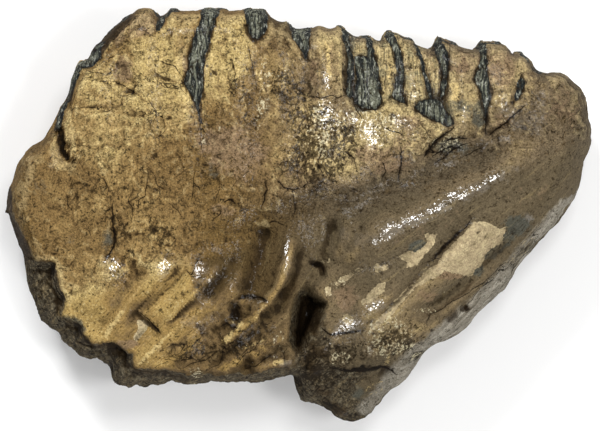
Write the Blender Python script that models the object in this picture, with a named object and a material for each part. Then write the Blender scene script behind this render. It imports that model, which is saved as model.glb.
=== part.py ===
"""Fossil mammoth molar lying on its side: one solid, its enamel plates, cement and roots grown together.

Frame: +X along the row of enamel plates, towards the narrow end; +Y from the roots to the chewing edge;
+Z up, out of the cheek side. The origin is on the ground, under the middle of the tooth.
Plan points and heights below are millimetres; the mesh is made in metres.
"""

import math

import bmesh
import bpy
import numpy as np

MM = 0.001

# Driving dimensions of the tooth.
LENGTH = 220.0  # along X, over the ten enamel plates
CROWN_TOP = 79.0  # height of the cheek side above the ground
GIRTH_HEIGHT = 34.0  # height of the widest outline above the ground
BACK_HOLLOW = 2.6  # how far the far side is hollowed between its two resting ends
REST_FLAT = 1.3  # how much of the far side's bulges is worn flat where it rests
LUMP_SIZE = 8.0  # across the small lumps all over it
LUMP_HEIGHT = 2.6  # from the bottom of the pits to the top of the lumps

# The mesh as shaped, and the share of it kept as facets.
RINGS = 160
RING_POINTS = 300
FACETS_KEPT = 0.096

# Half of the outline from the blunt end to the narrow end, along the worn chewing edge: the crests are
# enamel, the dips the softer cement between two plates.
CHEWING_EDGE = [
    (-110, 2.5), (-109.5, 9.5), (-107.5, 15.5), (-104, 22.5), (-100, 26.5), (-96, 29.5), (-93, 34),
    (-90, 41), (-87, 46), (-85.5, 52), (-83, 58), (-79.5, 59), (-76.5, 64), (-72, 68.5), (-67.5, 73),
    (-62, 76.5), (-60, 78), (-55.5, 78), (-54, 77), (-52, 75), (-50, 76.5), (-48, 78), (-43, 77),
    (-37, 77.5), (-34, 78), (-29, 78), (-26, 77), (-21, 77.5), (-19, 78), (-13, 77.5), (-11, 75.5),
    (-7.5, 73), (-4, 73), (-2, 70.5), (4, 70.5), (7.5, 71.5), (11.5, 70.5), (15.5, 71.5), (19, 69),
    (21.5, 67.5), (27, 67.5), (30, 66), (33, 69.5), (37, 69), (39.5, 67.5), (42.5, 66.5), (44.5, 64.5),
    (49.5, 63), (51.5, 67), (53, 67.5), (57, 65.5), (61.5, 63.5), (66, 63), (68, 65.5), (71, 66),
    (77.5, 64.5), (80, 61.5), (83.5, 61.5), (87, 58.5), (90, 54.5), (98, 54.5), (103, 51), (107, 47),
    (108.5, 41), (110, 32.5), (110.2, 28),
]  # fmt: skip
# The other half, round the broken root side, with the step where the front root lobe ends.
ROOT_EDGE = [
    (-110, 2.5), (-108, -5), (-104.5, -13), (-103, -17.5), (-101.5, -27.5), (-98, -36.5), (-93.5, -42),
    (-90.5, -44), (-88.5, -47.5), (-84, -51), (-81, -53.5), (-75.5, -54), (-71.5, -57), (-69, -62),
    (-63.5, -64.5), (-52.5, -64.5), (-47, -62.5), (-41, -63.5), (-28, -63), (-14, -63), (-7, -61.5),
    (-3, -60.5), (-1.5, -63), (0.5, -69.5), (6, -71.5), (12, -75), (15.5, -77), (20.5, -78),
    (25.5, -77), (29.5, -73.5), (38, -64.5), (48.5, -53.5), (53, -49.5), (63, -43.5), (70, -36.5),
    (78.5, -26.5), (84.5, -17.5), (93.5, -7), (98, -2.5), (103.5, 5), (106, 11), (107, 18),
    (109.5, 24.5), (110.2, 28),
]  # fmt: skip

# Enamel plates, each an upright flattened loop across the tooth: middle and half thickness along X.
PLATES = [
    (-67.0, 4.0), (-49.5, 4.0), (-32.0, 4.1), (-16.2, 4.2), (0.5, 4.2),
    (20.5, 5.5), (37.5, 5.5), (54.0, 4.2), (71.0, 4.6), (86.0, 4.0),
]  # fmt: skip
ENAMEL_HALF = 1.1  # half the thickness of the enamel wall of a plate
LOOP_HALF_LENGTH = 31.0  # half of a plate's loop across the tooth
WEAR_DEPTH = 2.0  # how far cement and dentine are worn below the enamel

# Enamel laid bare on the cheek side, where the cement is worn through: a line down the face, half a width.
ENAMEL_BANDS = [
    ([(-76, 63), (-82, 52), (-88, 40)], 2.6),
    ([(-47.5, 77), (-51, 73), (-53, 69)], 2.2),
    ([(-32, 78), (-33.5, 68), (-37, 58), (-38.5, 50), (-37.5, 43)], 3.4),
    ([(-16.5, 78), (-17, 71), (-18, 66)], 3.6),
    ([(0.5, 70), (2, 62), (3, 56)], 3.2),
    ([(15.5, 70), (18, 60), (19.5, 50), (18.5, 42)], 2.0),
    ([(26, 67), (28.5, 56), (30, 46), (29.5, 40)], 1.7),
    ([(33.5, 69), (37, 58), (39.5, 48), (39, 40)], 2.2),
    ([(42.5, 66), (45.5, 56), (48, 44)], 1.2),
    ([(51.5, 64), (54.5, 55), (53, 46)], 2.0),
    ([(68, 62), (69, 54), (67, 48), (69.5, 40)], 2.0),
]
BAND_DEPTH = 1.2

# Cement chipped away above the thick shell of it on the front half, baring the plates.
CHIPPED_CROWN = [
    (4, 71), (15, 72), (28, 68), (50, 63), (57, 58), (57, 45), (58, 34), (53, 33.5), (47, 36),
    (41, 39.5), (36, 41.5), (30, 40.5), (25, 38.5), (21, 37), (17, 40), (14, 44), (4, 45),
]  # fmt: skip
CHIP_DEPTH = 1.8

# Root flutes: crest line, half width and height. Each is the foot of a plate, bending into the root.
FLUTES = [
    ([(-62, 0), (-64.5, -8.5), (-68, -17.5), (-72, -26), (-76, -33), (-84, -45)], 5.0, 3.6),
    ([(-46, -4), (-48, -12.5), (-51, -20), (-56, -28), (-62.5, -34), (-75, -49)], 4.6, 4.2),
    ([(-36, -10), (-38.5, -17.5), (-44.5, -26.5), (-51, -33), (-57.5, -40), (-66, -53)], 4.2, 4.0),
    ([(-27, -14), (-29.5, -18.5), (-35.5, -27), (-40, -31), (-53, -43)], 1.8, 2.2),
    ([(-18, -10), (-21, -17.5), (-24.5, -26), (-32, -32.5), (-50, -46), (-61.5, -57)], 3.6, 5.0),
    ([(-3, -4), (-4, -9.5), (-5, -17), (-7, -23), (-10.5, -31), (-16, -37.5), (-33, -51)], 2.4, 5.0),
    ([(21, 0), (19, -3.5), (15.5, -11), (10, -17.5), (2.5, -29)], 2.6, 4.0),
    ([(36, 4), (32.5, 0), (26.5, -5.5), (22, -10.5), (18.5, -17.5), (13, -30)], 3.2, 4.0),
    ([(98, 36), (87, 24.5), (70, 12.5), (47.5, 1), (29, -14), (22, -22.5), (14, -38)], 5.5, 6.5),
    ([(92, 12), (83, 4), (75, -4), (63.5, -13), (51, -21.5), (38, -32), (22, -48)], 5.0, 5.0),
    ([(99, 8), (93.5, 1), (83, -9.5), (72, -20), (60.5, -30), (49.5, -37), (33, -46)], 3.4, 4.0),
    ([(106, 20), (104.5, 11.5), (97, -2.5), (86, -15), (75.5, -25.5), (65, -34), (50, -45)], 2.8, 3.4),
]
# The grooves between them: line, half width and depth.
GROOVES = [
    ([(-50, -20), (-24, -12.5), (-3.5, -6.5), (38, 7), (57, 13), (72, 21.5), (92, 46)], 9.0, 5.6),
    ([(-55, -8), (-57.5, -15), (-62, -22.5), (-67.5, -31), (-77, -46)], 2.8, 2.4),
    ([(-39, -9), (-41, -15), (-44.5, -22), (-50, -28), (-57, -34), (-68, -47)], 2.2, 3.4),
    ([(-25, -12), (-26.5, -17.5), (-31, -27.5), (-37, -33.5), (-50, -44)], 2.2, 3.2),
    ([(-12, -4), (-14, -9.5), (-16, -17.5), (-18.5, -26.5), (-27, -39)], 3.4, 5.2),
    ([(1, -10), (-1, -17.5), (-4, -25), (-8.5, -34), (-18, -46)], 2.4, 3.4),
    ([(15, 0), (13, -5), (10, -13), (5, -20), (-2, -32)], 2.8, 5.4),
    ([(86, 13), (75.5, 6.5), (57.5, -6.5), (49.5, -15.5), (28, -33), (14, -45)], 3.0, 5.0),
    ([(88, 4), (80, -2.5), (75, -10.5), (62, -25.5), (53, -32), (42.5, -36.5), (30, -43)], 2.2, 4.0),
    ([(102, 9), (98, 1), (87.5, -12.5), (76.5, -23.5), (65, -32), (47, -42)], 1.8, 2.6),
]

# The broken margin below this line is a lower ledge of bare root dentine, and so is the foot of the lobe.
BROKEN_MARGIN = [
    (-112, -17.5), (-91.5, -19.5), (-90, -25), (-86.5, -32.5), (-88.5, -37), (-81.5, -41.5),
    (-81, -45.5), (-73.5, -50), (-68, -48.5), (-62.5, -51.5), (-62, -58.5), (-50.5, -58.5),
    (-44.5, -61.5), (-16.5, -60), (-3.5, -59), (1, -70), (-20, -85), (-112, -85),
]  # fmt: skip
LEDGE_DROP = 9.0
LOBE_FOOT = [
    (0.5, -59), (7, -57), (13, -57), (17.5, -58.5), (25, -58), (31, -56.5), (36.5, -58), (45.5, -53),
    (56, -49), (40, -85), (-4, -85), (-3, -62),
]  # fmt: skip
LOBE_DROP = 8.0
# The deep cleft between the two groups of roots.
CLEFT = [
    (0.5, -31), (3.5, -29), (7, -31), (8.5, -33.5), (6.5, -37.5), (4.5, -41.5), (2.5, -45.5),
    (0, -49.5), (-1.5, -46), (-1.5, -38.5), (-0.5, -34),
]  # fmt: skip
CLEFT_DEPTH = 16.0

# Pulp hollows in the broken ends of the roots: middle along X, half width, depth.
PULP_HOLLOWS = [
    (-74, 4, 2.5), (-54, 6, 4.0), (-36, 5, 3.0), (-17, 6, 4.0), (33, 4, 2.6), (49, 5, 3.0), (68, 5, 2.5),
]  # fmt: skip
PULP_HALF_HEIGHT = 11.0


def smooth_line(points, steps=6):
    """A Catmull-Rom curve through the points: each span is a cubic, its end slopes from its neighbours."""
    p = np.array(points, float)
    p = np.vstack([2 * p[0] - p[1], p, 2 * p[-1] - p[-2]])
    t = np.linspace(0, 1, steps, endpoint=False)[:, None]
    spans = [
        b + 0.5 * ((c - a) * t + (2 * a - 5 * b + 4 * c - d) * t**2 + (3 * (b - c) + d - a) * t**3)
        for a, b, c, d in zip(p[:-3], p[1:-2], p[2:-1], p[3:])
    ]
    return np.vstack([*spans, p[-2:-1]])


def distance(x, y, line):
    """The distance of each plan point from a line of points, and how far along the line it is, 0 to 1."""
    nearest = np.full(x.shape, np.inf)
    along = np.zeros(x.shape)
    for i, ((ax, ay), (bx, by)) in enumerate(zip(line[:-1], line[1:])):
        ux, uy = bx - ax, by - ay
        share = ((x - ax) * ux + (y - ay) * uy) / max(ux * ux + uy * uy, 1e-9)
        share = np.clip(share, 0, 1)
        gap = np.hypot(x - ax - share * ux, y - ay - share * uy)
        along = np.where(gap < nearest, (i + share) / (len(line) - 1), along)
        nearest = np.minimum(nearest, gap)
    return nearest, along


def depth_inside(x, y, corners):
    """The distance of each plan point inside a closed shape, negative outside it."""
    ring = np.vstack([corners, corners[:1]])
    inside = np.zeros(x.shape, bool)
    for (ax, ay), (bx, by) in zip(ring[:-1], ring[1:]):
        crosses = (ay > y) != (by > y)
        rise = by - ay if by != ay else 1.0
        inside ^= crosses & (x < (bx - ax) * (y - ay) / rise + ax)
    return np.where(inside, 1, -1) * distance(x, y, ring)[0]


def ramp(low, high, value):
    """0 below low, 1 above high, and a smooth step between."""
    t = np.clip((value - low) / (high - low), 0, 1)
    return t * t * (3 - 2 * t)


def bump(x, y, line, half_width, height):
    """A rounded ridge of the given height along a line, dying away towards both of its ends."""
    off, along = distance(x, y, smooth_line(line))
    return height * np.exp(-((off / half_width) ** 2)) * ramp(0, 0.2, along) * ramp(1, 0.8, along)


def outline():
    """The tooth's outline as one closed ring of plan points."""
    return np.vstack([smooth_line(CHEWING_EDGE, 3), smooth_line(ROOT_EDGE, 3)[-2:0:-1]])


def rounding(x, y, edge):
    """How full the tooth is at each plan point: 0 on its outline, 1 past the rounding of its rim."""
    root_side = ramp(30, 75, 0.66 * x - 0.75 * y)
    radius = 7 + 13 * root_side
    power = 2.6 - 0.5 * root_side
    short = np.clip(1 - edge / radius, 0, 1)
    return (1 - short**power) ** (1 / power)


def relief(x, y):
    """Flutes less grooves, which run through the tooth and so show on both of its sides."""
    ridges = sum(bump(x, y, *flute) for flute in FLUTES)
    return ridges - sum(bump(x, y, *groove) for groove in GROOVES)


def bared_enamel(x, y):
    """1 on the enamel laid bare on the cheek side, 0 off it."""
    share = np.zeros(x.shape)
    for line, half_width in ENAMEL_BANDS:
        off = distance(x, y, smooth_line(line))[0]
        share = np.maximum(share, ramp(half_width + 0.8, half_width - 0.8, off))
    return share


def cheek_side(x, y):
    """Height of the upper side over each plan point, before its rim is rounded."""
    dome = CROWN_TOP - 10 * ((x + 15) / 110) ** 2 - 7 * ((y - 15) / 80) ** 2
    dome -= 11 * ramp(35, 80, 0.66 * x - 0.75 * y)
    cuts = CHIP_DEPTH * ramp(-0.8, 0.8, depth_inside(x, y, CHIPPED_CROWN))
    cuts += BAND_DEPTH * bared_enamel(x, y)
    cuts += LEDGE_DROP * ramp(-0.8, 1.6, depth_inside(x, y, BROKEN_MARGIN))
    cuts += LOBE_DROP * ramp(-1, 6, depth_inside(x, y, LOBE_FOOT))
    cuts += CLEFT_DEPTH * ramp(-1.5, 4.2, depth_inside(x, y, CLEFT))
    return dome + relief(x, y) - cuts


def far_side(x, y):
    """Height of the side it lies on: hollow along the middle, as the molar curves, and up at both ends."""
    hollow = BACK_HOLLOW * np.exp(-((x / 42) ** 2))
    rise = 7 * ((y - 2) / 75) ** 2 + 9 * ramp(70, 112, np.abs(x))
    cleft = 0.5 * CLEFT_DEPTH * ramp(-1.5, 4.2, depth_inside(x, y, CLEFT))
    return hollow + rise + cleft - 0.35 * relief(x, y) - REST_FLAT


def wear(x, z):
    """Depth of wear on the chewing surface: none on the enamel loop of each plate, and most between."""
    across = np.abs(z - 0.5 * CROWN_TOP + 1.5)
    near = np.full(x.shape, np.inf)
    for middle, half in PLATES:
        wavy = x - middle - 0.7 * np.sin(z / 5.5 + middle)
        overrun = np.maximum(across - LOOP_HALF_LENGTH + half, 0)
        loop = np.hypot(wavy, overrun) - half + ENAMEL_HALF
        near = np.minimum(near, np.abs(loop))
    return WEAR_DEPTH * ramp(ENAMEL_HALF, ENAMEL_HALF + 1.2, near)


def pulp(x, z):
    """Depth of the pulp hollows at the root edge."""
    high = np.exp(-(((z - GIRTH_HEIGHT + 2) / PULP_HALF_HEIGHT) ** 2))
    return sum(depth * high * np.exp(-(((x - middle) / half) ** 2)) for middle, half, depth in PULP_HOLLOWS)


def shaped(turn, station):
    """Millimetre points of the surface for an angle about the X axis and a share of the length.

    Each station is a slice across the plates. Turn 0 is its chewing edge, a quarter turn the cheek side,
    half a turn the root edge and three quarters the side it lies on.
    """
    x = LENGTH * (0.65 * station + 0.35 * (0.5 - 0.5 * np.cos(math.pi * station)) - 0.5)
    high = np.interp(x, *smooth_line(CHEWING_EDGE, 3).T)
    low = np.interp(x, *smooth_line(ROOT_EDGE, 3).T)
    eased = turn - 0.3 * np.sin(2 * turn)
    y = (high + low) / 2 + (high - low) / 2 * np.cos(eased)
    full = rounding(x, y, distance(x, y, outline())[0])
    upper = GIRTH_HEIGHT + (cheek_side(x, y) - GIRTH_HEIGHT) * full
    lower = GIRTH_HEIGHT - (GIRTH_HEIGHT - far_side(x, y)) * full
    z = np.where(np.sin(turn) >= 0, upper, lower)
    on_chewing_wall = ramp(0.93, 0.99, np.cos(eased)) * ramp(0, 6, high - low)
    y -= on_chewing_wall * ramp(34, 26, np.abs(z - 38)) * wear(x, z) * ramp(20, 50, y)
    y += ramp(0.8, 0.97, -np.cos(eased)) * ramp(0, 30, high - low) * pulp(x, z)
    return np.column_stack([x, y, z])


def tooth_mesh():
    """The tooth: a sphere with its poles at the two ends of the row, its points moved to the surface."""
    bm = bmesh.new()
    bmesh.ops.create_uvsphere(bm, u_segments=RING_POINTS, v_segments=RINGS, radius=1)
    unit = np.array([v.co for v in bm.verts])
    turn = np.arctan2(unit[:, 1], unit[:, 0])
    station = 0.5 + np.arcsin(np.clip(unit[:, 2], -1, 1)) / math.pi
    for vert, point in zip(bm.verts, shaped(turn, station)):
        vert.co = point * MM
    bmesh.ops.recalc_face_normals(bm, faces=bm.faces)
    mesh = bpy.data.meshes.new("mammoth_tooth")
    bm.to_mesh(mesh)
    bm.free()
    mesh.shade_smooth()
    return mesh


def resting_plane(collection):
    """A block whose top is the ground, which wears the far side flat where the tooth lies on it."""
    bm = bmesh.new()
    bmesh.ops.create_cube(bm, size=1)
    mesh = bpy.data.meshes.new("resting_plane")
    bm.to_mesh(mesh)
    bm.free()
    block = bpy.data.objects.new("resting_plane", mesh)
    collection.objects.link(block)
    block.scale = (2 * LENGTH * MM, 2 * LENGTH * MM, 20 * MM)
    block.location = (0, 0, -10 * MM)
    block.hide_render = True
    block.display_type = "WIRE"
    return block


def fossil_material():
    """Mineral-stained cement and dentine under a coat of varnish."""
    material = bpy.data.materials.new("varnished_fossil")
    material.use_nodes = True
    shader = material.node_tree.nodes["Principled BSDF"]
    shader.inputs["Base Color"].default_value = (0.25, 0.18, 0.09, 1)
    shader.inputs["Roughness"].default_value = 0.45
    shader.inputs["Metallic"].default_value = 0.0
    return material


def build():
    for obj in list(bpy.data.objects):
        bpy.data.objects.remove(obj)
    collection = bpy.data.collections.new("fossil_mammoth_tooth")
    cutters = bpy.data.collections.new("cutters")
    bpy.context.scene.collection.children.link(collection)
    bpy.context.scene.collection.children.link(cutters)

    tooth = bpy.data.objects.new("mammoth_tooth", tooth_mesh())
    collection.objects.link(tooth)
    tooth.data.materials.append(fossil_material())

    grain = bpy.data.textures.new("lumps", "CLOUDS")
    grain.noise_scale = LUMP_SIZE * MM
    grain.noise_depth = 3
    lumps = tooth.modifiers.new("lumps", "DISPLACE")
    lumps.texture = grain
    lumps.texture_coords = "LOCAL"
    lumps.strength = LUMP_HEIGHT * MM

    facets = tooth.modifiers.new("facets", "DECIMATE")
    facets.ratio = FACETS_KEPT

    rest = tooth.modifiers.new("rest", "BOOLEAN")
    rest.operation = "DIFFERENCE"
    rest.solver = "EXACT"
    rest.object = resting_plane(cutters)


build()
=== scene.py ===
"""A fossil mammoth molar lying on its side on a pale studio floor."""

import bpy
import numpy as np
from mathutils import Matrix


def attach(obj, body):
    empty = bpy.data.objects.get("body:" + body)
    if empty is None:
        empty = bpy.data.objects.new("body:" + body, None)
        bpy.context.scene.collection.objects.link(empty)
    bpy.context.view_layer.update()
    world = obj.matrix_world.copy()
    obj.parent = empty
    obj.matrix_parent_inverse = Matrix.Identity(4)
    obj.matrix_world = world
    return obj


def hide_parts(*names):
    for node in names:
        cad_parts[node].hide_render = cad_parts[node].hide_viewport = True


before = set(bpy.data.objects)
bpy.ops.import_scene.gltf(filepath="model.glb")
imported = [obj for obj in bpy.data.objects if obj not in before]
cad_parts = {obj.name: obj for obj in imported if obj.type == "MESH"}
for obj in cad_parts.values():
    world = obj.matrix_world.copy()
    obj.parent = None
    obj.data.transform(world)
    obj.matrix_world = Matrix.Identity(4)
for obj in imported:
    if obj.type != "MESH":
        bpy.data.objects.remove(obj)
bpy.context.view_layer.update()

# ----------------------------------------------------------------------------------------------------
# The tooth's form.
# One mammoth molar, lying on its side: ten enamel plates held together by cement, worn level along the
# chewing edge (+Y), and drawn out at the foot into fused, fluted roots, broken off along their edge.
# It grew as one piece, so it is one closed skin. All lengths are millimetres until the mesh is made.
# ----------------------------------------------------------------------------------------------------

# Its length, the height of its crest as it lies, and the height at which its outline in plan is reached.
LENGTH = 220.0
CROWN_TOP = 79.0
GIRTH_HEIGHT = 34.0

# Its outline in plan, from the blunt end to the narrow end: first along the chewing edge, then along the
# roots.
CHEWING_EDGE = [
    (-110, 2.5), (-109.5, 9.5), (-107.5, 15.5), (-104, 22.5), (-100, 26.5), (-96, 29.5), (-93, 34),
    (-90, 41), (-87, 46), (-85.5, 52), (-83, 58), (-79.5, 59), (-76.5, 64), (-72, 68.5), (-67.5, 73),
    (-62, 76.5), (-60, 78), (-55.5, 78), (-54, 77), (-52, 75), (-50, 76.5), (-48, 78), (-43, 77),
    (-37, 77.5), (-34, 78), (-29, 78), (-26, 77), (-21, 77.5), (-19, 78), (-13, 77.5), (-11, 75.5),
    (-7.5, 73), (-4, 73), (-2, 70.5), (4, 70.5), (7.5, 71.5), (11.5, 70.5), (15.5, 71.5), (19, 69),
    (21.5, 67.5), (27, 67.5), (30, 66), (33, 69.5), (37, 69), (39.5, 67.5), (42.5, 66.5), (44.5, 64.5),
    (49.5, 63), (51.5, 67), (53, 67.5), (57, 65.5), (61.5, 63.5), (66, 63), (68, 65.5), (71, 66),
    (77.5, 64.5), (80, 61.5), (83.5, 61.5), (87, 58.5), (90, 54.5), (98, 54.5), (103, 51), (107, 47),
    (108.5, 41), (110, 32.5), (110.2, 28),
]  # fmt: skip
ROOT_EDGE = [
    (-110, 2.5), (-108, -5), (-104.5, -13), (-103, -17.5), (-101.5, -27.5), (-98, -36.5), (-93.5, -42),
    (-90.5, -44), (-88.5, -47.5), (-84, -51), (-81, -53.5), (-75.5, -54), (-71.5, -57), (-69, -62),
    (-63.5, -64.5), (-52.5, -64.5), (-47, -62.5), (-41, -63.5), (-28, -63), (-14, -63), (-7, -61.5),
    (-3, -60.5), (-1.5, -63), (0.5, -69.5), (6, -71.5), (12, -75), (15.5, -77), (20.5, -78), (25.5, -77),
    (29.5, -73.5), (38, -64.5), (48.5, -53.5), (53, -49.5), (63, -43.5), (70, -36.5), (78.5, -26.5),
    (84.5, -17.5), (93.5, -7), (98, -2.5), (103.5, 5), (106, 11), (107, 18), (109.5, 24.5), (110.2, 28),
]  # fmt: skip


def smooth_line(points, steps=5):
    """A Catmull-Rom curve through the points: each span is a cubic, its end slopes from its neighbours.

    The first and last spans take for a missing neighbour the point mirrored in the line's end.
    """
    line = np.array(points, float)
    line = np.vstack([2 * line[0] - line[1], line, 2 * line[-1] - line[-2]])
    t = np.linspace(0, 1, steps, endpoint=False)[:, None]
    spans = [
        b + 0.5 * ((c - a) * t + (2 * a - 5 * b + 4 * c - d) * t**2 + (3 * (b - c) + d - a) * t**3)
        for a, b, c, d in zip(line[:-3], line[1:-2], line[2:-1], line[3:])
    ]
    return np.vstack([*spans, line[-2:-1]])


def distance(x, y, line, reach=np.inf):
    """Distance of each plan point from a line of points, its share along it, and its side, -1 or 1.

    Each span's nearest point is the foot of the perpendicular, held between the span's two ends. Points
    further than reach from the line's box are left at reach.
    """
    line = np.asarray(line, float)
    nearest = np.full(x.shape, float(reach))
    along, side = np.zeros(x.shape), np.ones(x.shape)
    low, high = line.min(0) - reach, line.max(0) + reach
    near = (x > low[0]) & (x < high[0]) & (y > low[1]) & (y < high[1])
    near_x, near_y = x[near], y[near]
    best, place, left = nearest[near], along[near], side[near]
    for i, ((ax, ay), (bx, by)) in enumerate(zip(line[:-1], line[1:])):
        ux, uy = bx - ax, by - ay
        share = np.clip(((near_x - ax) * ux + (near_y - ay) * uy) / max(ux * ux + uy * uy, 1e-9), 0, 1)
        gap = np.hypot(near_x - ax - share * ux, near_y - ay - share * uy)
        place = np.where(gap < best, (i + share) / (len(line) - 1), place)
        left = np.where(gap < best, np.where(ux * (near_y - ay) > uy * (near_x - ax), 1, -1), left)
        best = np.minimum(best, gap)
    nearest[near], along[near], side[near] = best, place, left
    return nearest, along, side


def depth_inside(x, y, corners, reach=12.0):
    """Distance inside a closed plan shape, negative outside: the even-odd rule gives the sign."""
    ring = np.vstack([corners, corners[:1]])
    inside = np.zeros(x.shape, bool)
    for (ax, ay), (bx, by) in zip(ring[:-1], ring[1:]):
        crosses = (ay > y) != (by > y)
        rise = by - ay if by != ay else 1.0
        inside ^= crosses & (x < (bx - ax) * (y - ay) / rise + ax)
    return np.where(inside, 1, -1) * distance(x, y, ring, reach)[0]


def ramp(low, high, value):
    """0 below low, 1 above high, and a smooth step between."""
    t = np.clip((value - low) / (high - low), 0, 1)
    return t * t * (3 - 2 * t)


# How many random slopes the corners of the noise share: a power of two, so that & wraps a number round.
SLOPES = 1024


def grain(points, size, seed, octaves=3, gain=0.5):
    """Gradient noise about size across, from -1 to 1.

    Space is cut into cubes. Each corner has a random slope, and the eight slopes of a cube are blended by
    a quintic ease; each further octave has half the size, and gain times the weight.
    """
    rng = np.random.default_rng(seed)
    slopes = rng.normal(size=(SLOPES, 3))
    slopes /= np.linalg.norm(slopes, axis=1)[:, None]
    order, wrap = rng.permutation(SLOPES), SLOPES - 1
    total, weight, reached = np.zeros(len(points)), 1.0, 0.0
    for octave in range(octaves):
        place = points / size * 2**octave + 17.3 * octave
        cell = np.floor(place).astype(int)
        share = place - cell
        ease = share**3 * (share * (share * 6 - 15) + 10)
        for corner in range(8):
            step = np.array([corner & 1, corner >> 1 & 1, corner >> 2])
            across, along, up = ((cell + step) & wrap).T
            pick = order[(order[(order[across] + along) & wrap] + up) & wrap]
            blend = np.prod(np.where(step, ease, 1 - ease), axis=1)
            total += weight * 1.6 * blend * np.einsum("ij,ij->i", slopes[pick], share - step)
        reached += weight
        weight *= gain
    return total / reached


def rootward(x, y):
    """How far each plan point lies towards the edge of the front root."""
    return 0.66 * x - 0.75 * y


# The rim's rounding on the crown, and how it differs along the front root and at the blunt end: how far in
# from the outline it reaches, and the power of its section, which is squarer the higher it is.
RIM = 7
ROOT_RIM_WIDER = 13
BLUNT_RIM_WIDER = 3
RIM_POWER = 2.6
ROOT_RIM_SOFTER = 0.5
BLUNT_RIM_SOFTER = 0.4


def rounding(x, y, edge):
    """How full the tooth is at each plan point: 0 on its outline, 1 past the rounding of its rim.

    A superellipse: 1 minus the shortfall from the rim's width to a power, to the inverse power.
    """
    root_side = ramp(30, 75, rootward(x, y))
    blunt_end = ramp(-85, -105, x) * ramp(-30, 0, y)
    width = RIM + ROOT_RIM_WIDER * root_side + BLUNT_RIM_WIDER * blunt_end
    power = RIM_POWER - ROOT_RIM_SOFTER * root_side - BLUNT_RIM_SOFTER * blunt_end
    short = np.clip(1 - edge / width, 0, 1)
    return (1 - short**power) ** (1 / power)


# ----------------------------------------------------------------------------------------------------
# The tooth's relief.
# Cement covers the plates' sides and runs down into the roots as flutes, one below each plate. It is
# chipped off the front half of the crown, which bares the plates, and the roots are broken and cleft.
# ----------------------------------------------------------------------------------------------------

# Each plate's middle along X and half its thickness.
PLATES = [
    (-67, 4), (-49.5, 4), (-32, 4.1), (-16.2, 4.2), (0.5, 4.2), (20.5, 5.5), (37.5, 5.5), (54, 4.2),
    (71, 4.6), (86, 4),
]  # fmt: skip
# On the chewing surface each plate is a loop of enamel: half the enamel's thickness, half the loop's length
# across the tooth, the size, length and turn of its waves, and how deep the rest is worn away between.
ENAMEL_HALF = 1.1
LOOP_HALF_LENGTH = 26
LOOP_WAVES = ((0.7, 5.5, 1), (0.3, 1.9, 2))
WEAR_DEPTH = 2.0

# Flutes of the roots: crest line, half width, height.
FLUTES = [
    ([(-68.5, -14.5), (-70.5, -20.5), (-72.5, -26), (-75.5, -32), (-80.5, -39.5)], 6.5, 3),
    ([(-49.5, -14.5), (-52.5, -21.5), (-58, -27.5), (-65.5, -34), (-73, -46)], 6.5, 3.4),
    ([(-35.5, -15.5), (-38.5, -21.5), (-44, -27.5), (-50, -33.5), (-56, -39.5)], 4.8, 1.8),
    ([(-28, -15.5), (-32.5, -22.5), (-36, -27.5), (-41, -31), (-46.5, -35.5), (-52.5, -42.5)], 1.7, 2.2),
    ([(-17.5, -13), (-21, -21.5), (-27.5, -29.5), (-34, -35), (-41, -39.5), (-49.5, -45), (-58, -53),
     (-62.5, -57)], 5, 3),
    ([(-3, -2), (-3, -13), (-4.5, -20), (-7, -26.5), (-11.5, -32.5), (-18.5, -39.5), (-26, -46),
     (-32.5, -50)], 2.8, 4.2),
    ([(20, 4), (17, -6.5), (14.5, -11.5), (11, -17)], 3.6, 2),
    ([(34, 6.5), (29.5, -2), (23.5, -8), (20, -14), (17.5, -20.5)], 3.8, 2.6),
    ([(99, 35), (80, 19), (66, 11.5), (53, 4), (45.5, 0.5), (35, -5), (28, -10.5), (19, -21.5)], 7.5, 5.4),
    ([(92.5, 13), (81, 3.5), (70, -2.5), (58.5, -13), (49.5, -22.5), (36, -34), (23, -49)], 7, 3.2),
    ([(99, 8.5), (90.5, -2.5), (80, -14), (71, -24.5), (60.5, -34), (49.5, -43), (32.5, -47)], 3.6, 2.6),
    ([(105.5, 20), (103, 9.5), (95, -5), (85.5, -16), (75.5, -26.5), (63.5, -36.5), (49.5, -46)], 3.2,
     2.2),
    ([(-10, -32), (-16.5, -37.5), (-24, -44), (-31, -49)], 1.3, 1.4),
    ([(-2.5, -43), (-11.5, -49), (-22, -54.5), (-31.5, -59)], 3, 2.4),
    ([(-17.5, -57.5), (-9, -55.5), (-1, -54.5)], 2.4, 2.4),
    ([(-35.5, -43), (-41, -49), (-48.5, -54.5), (-56, -59)], 2.6, 2),
]  # fmt: skip
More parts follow.
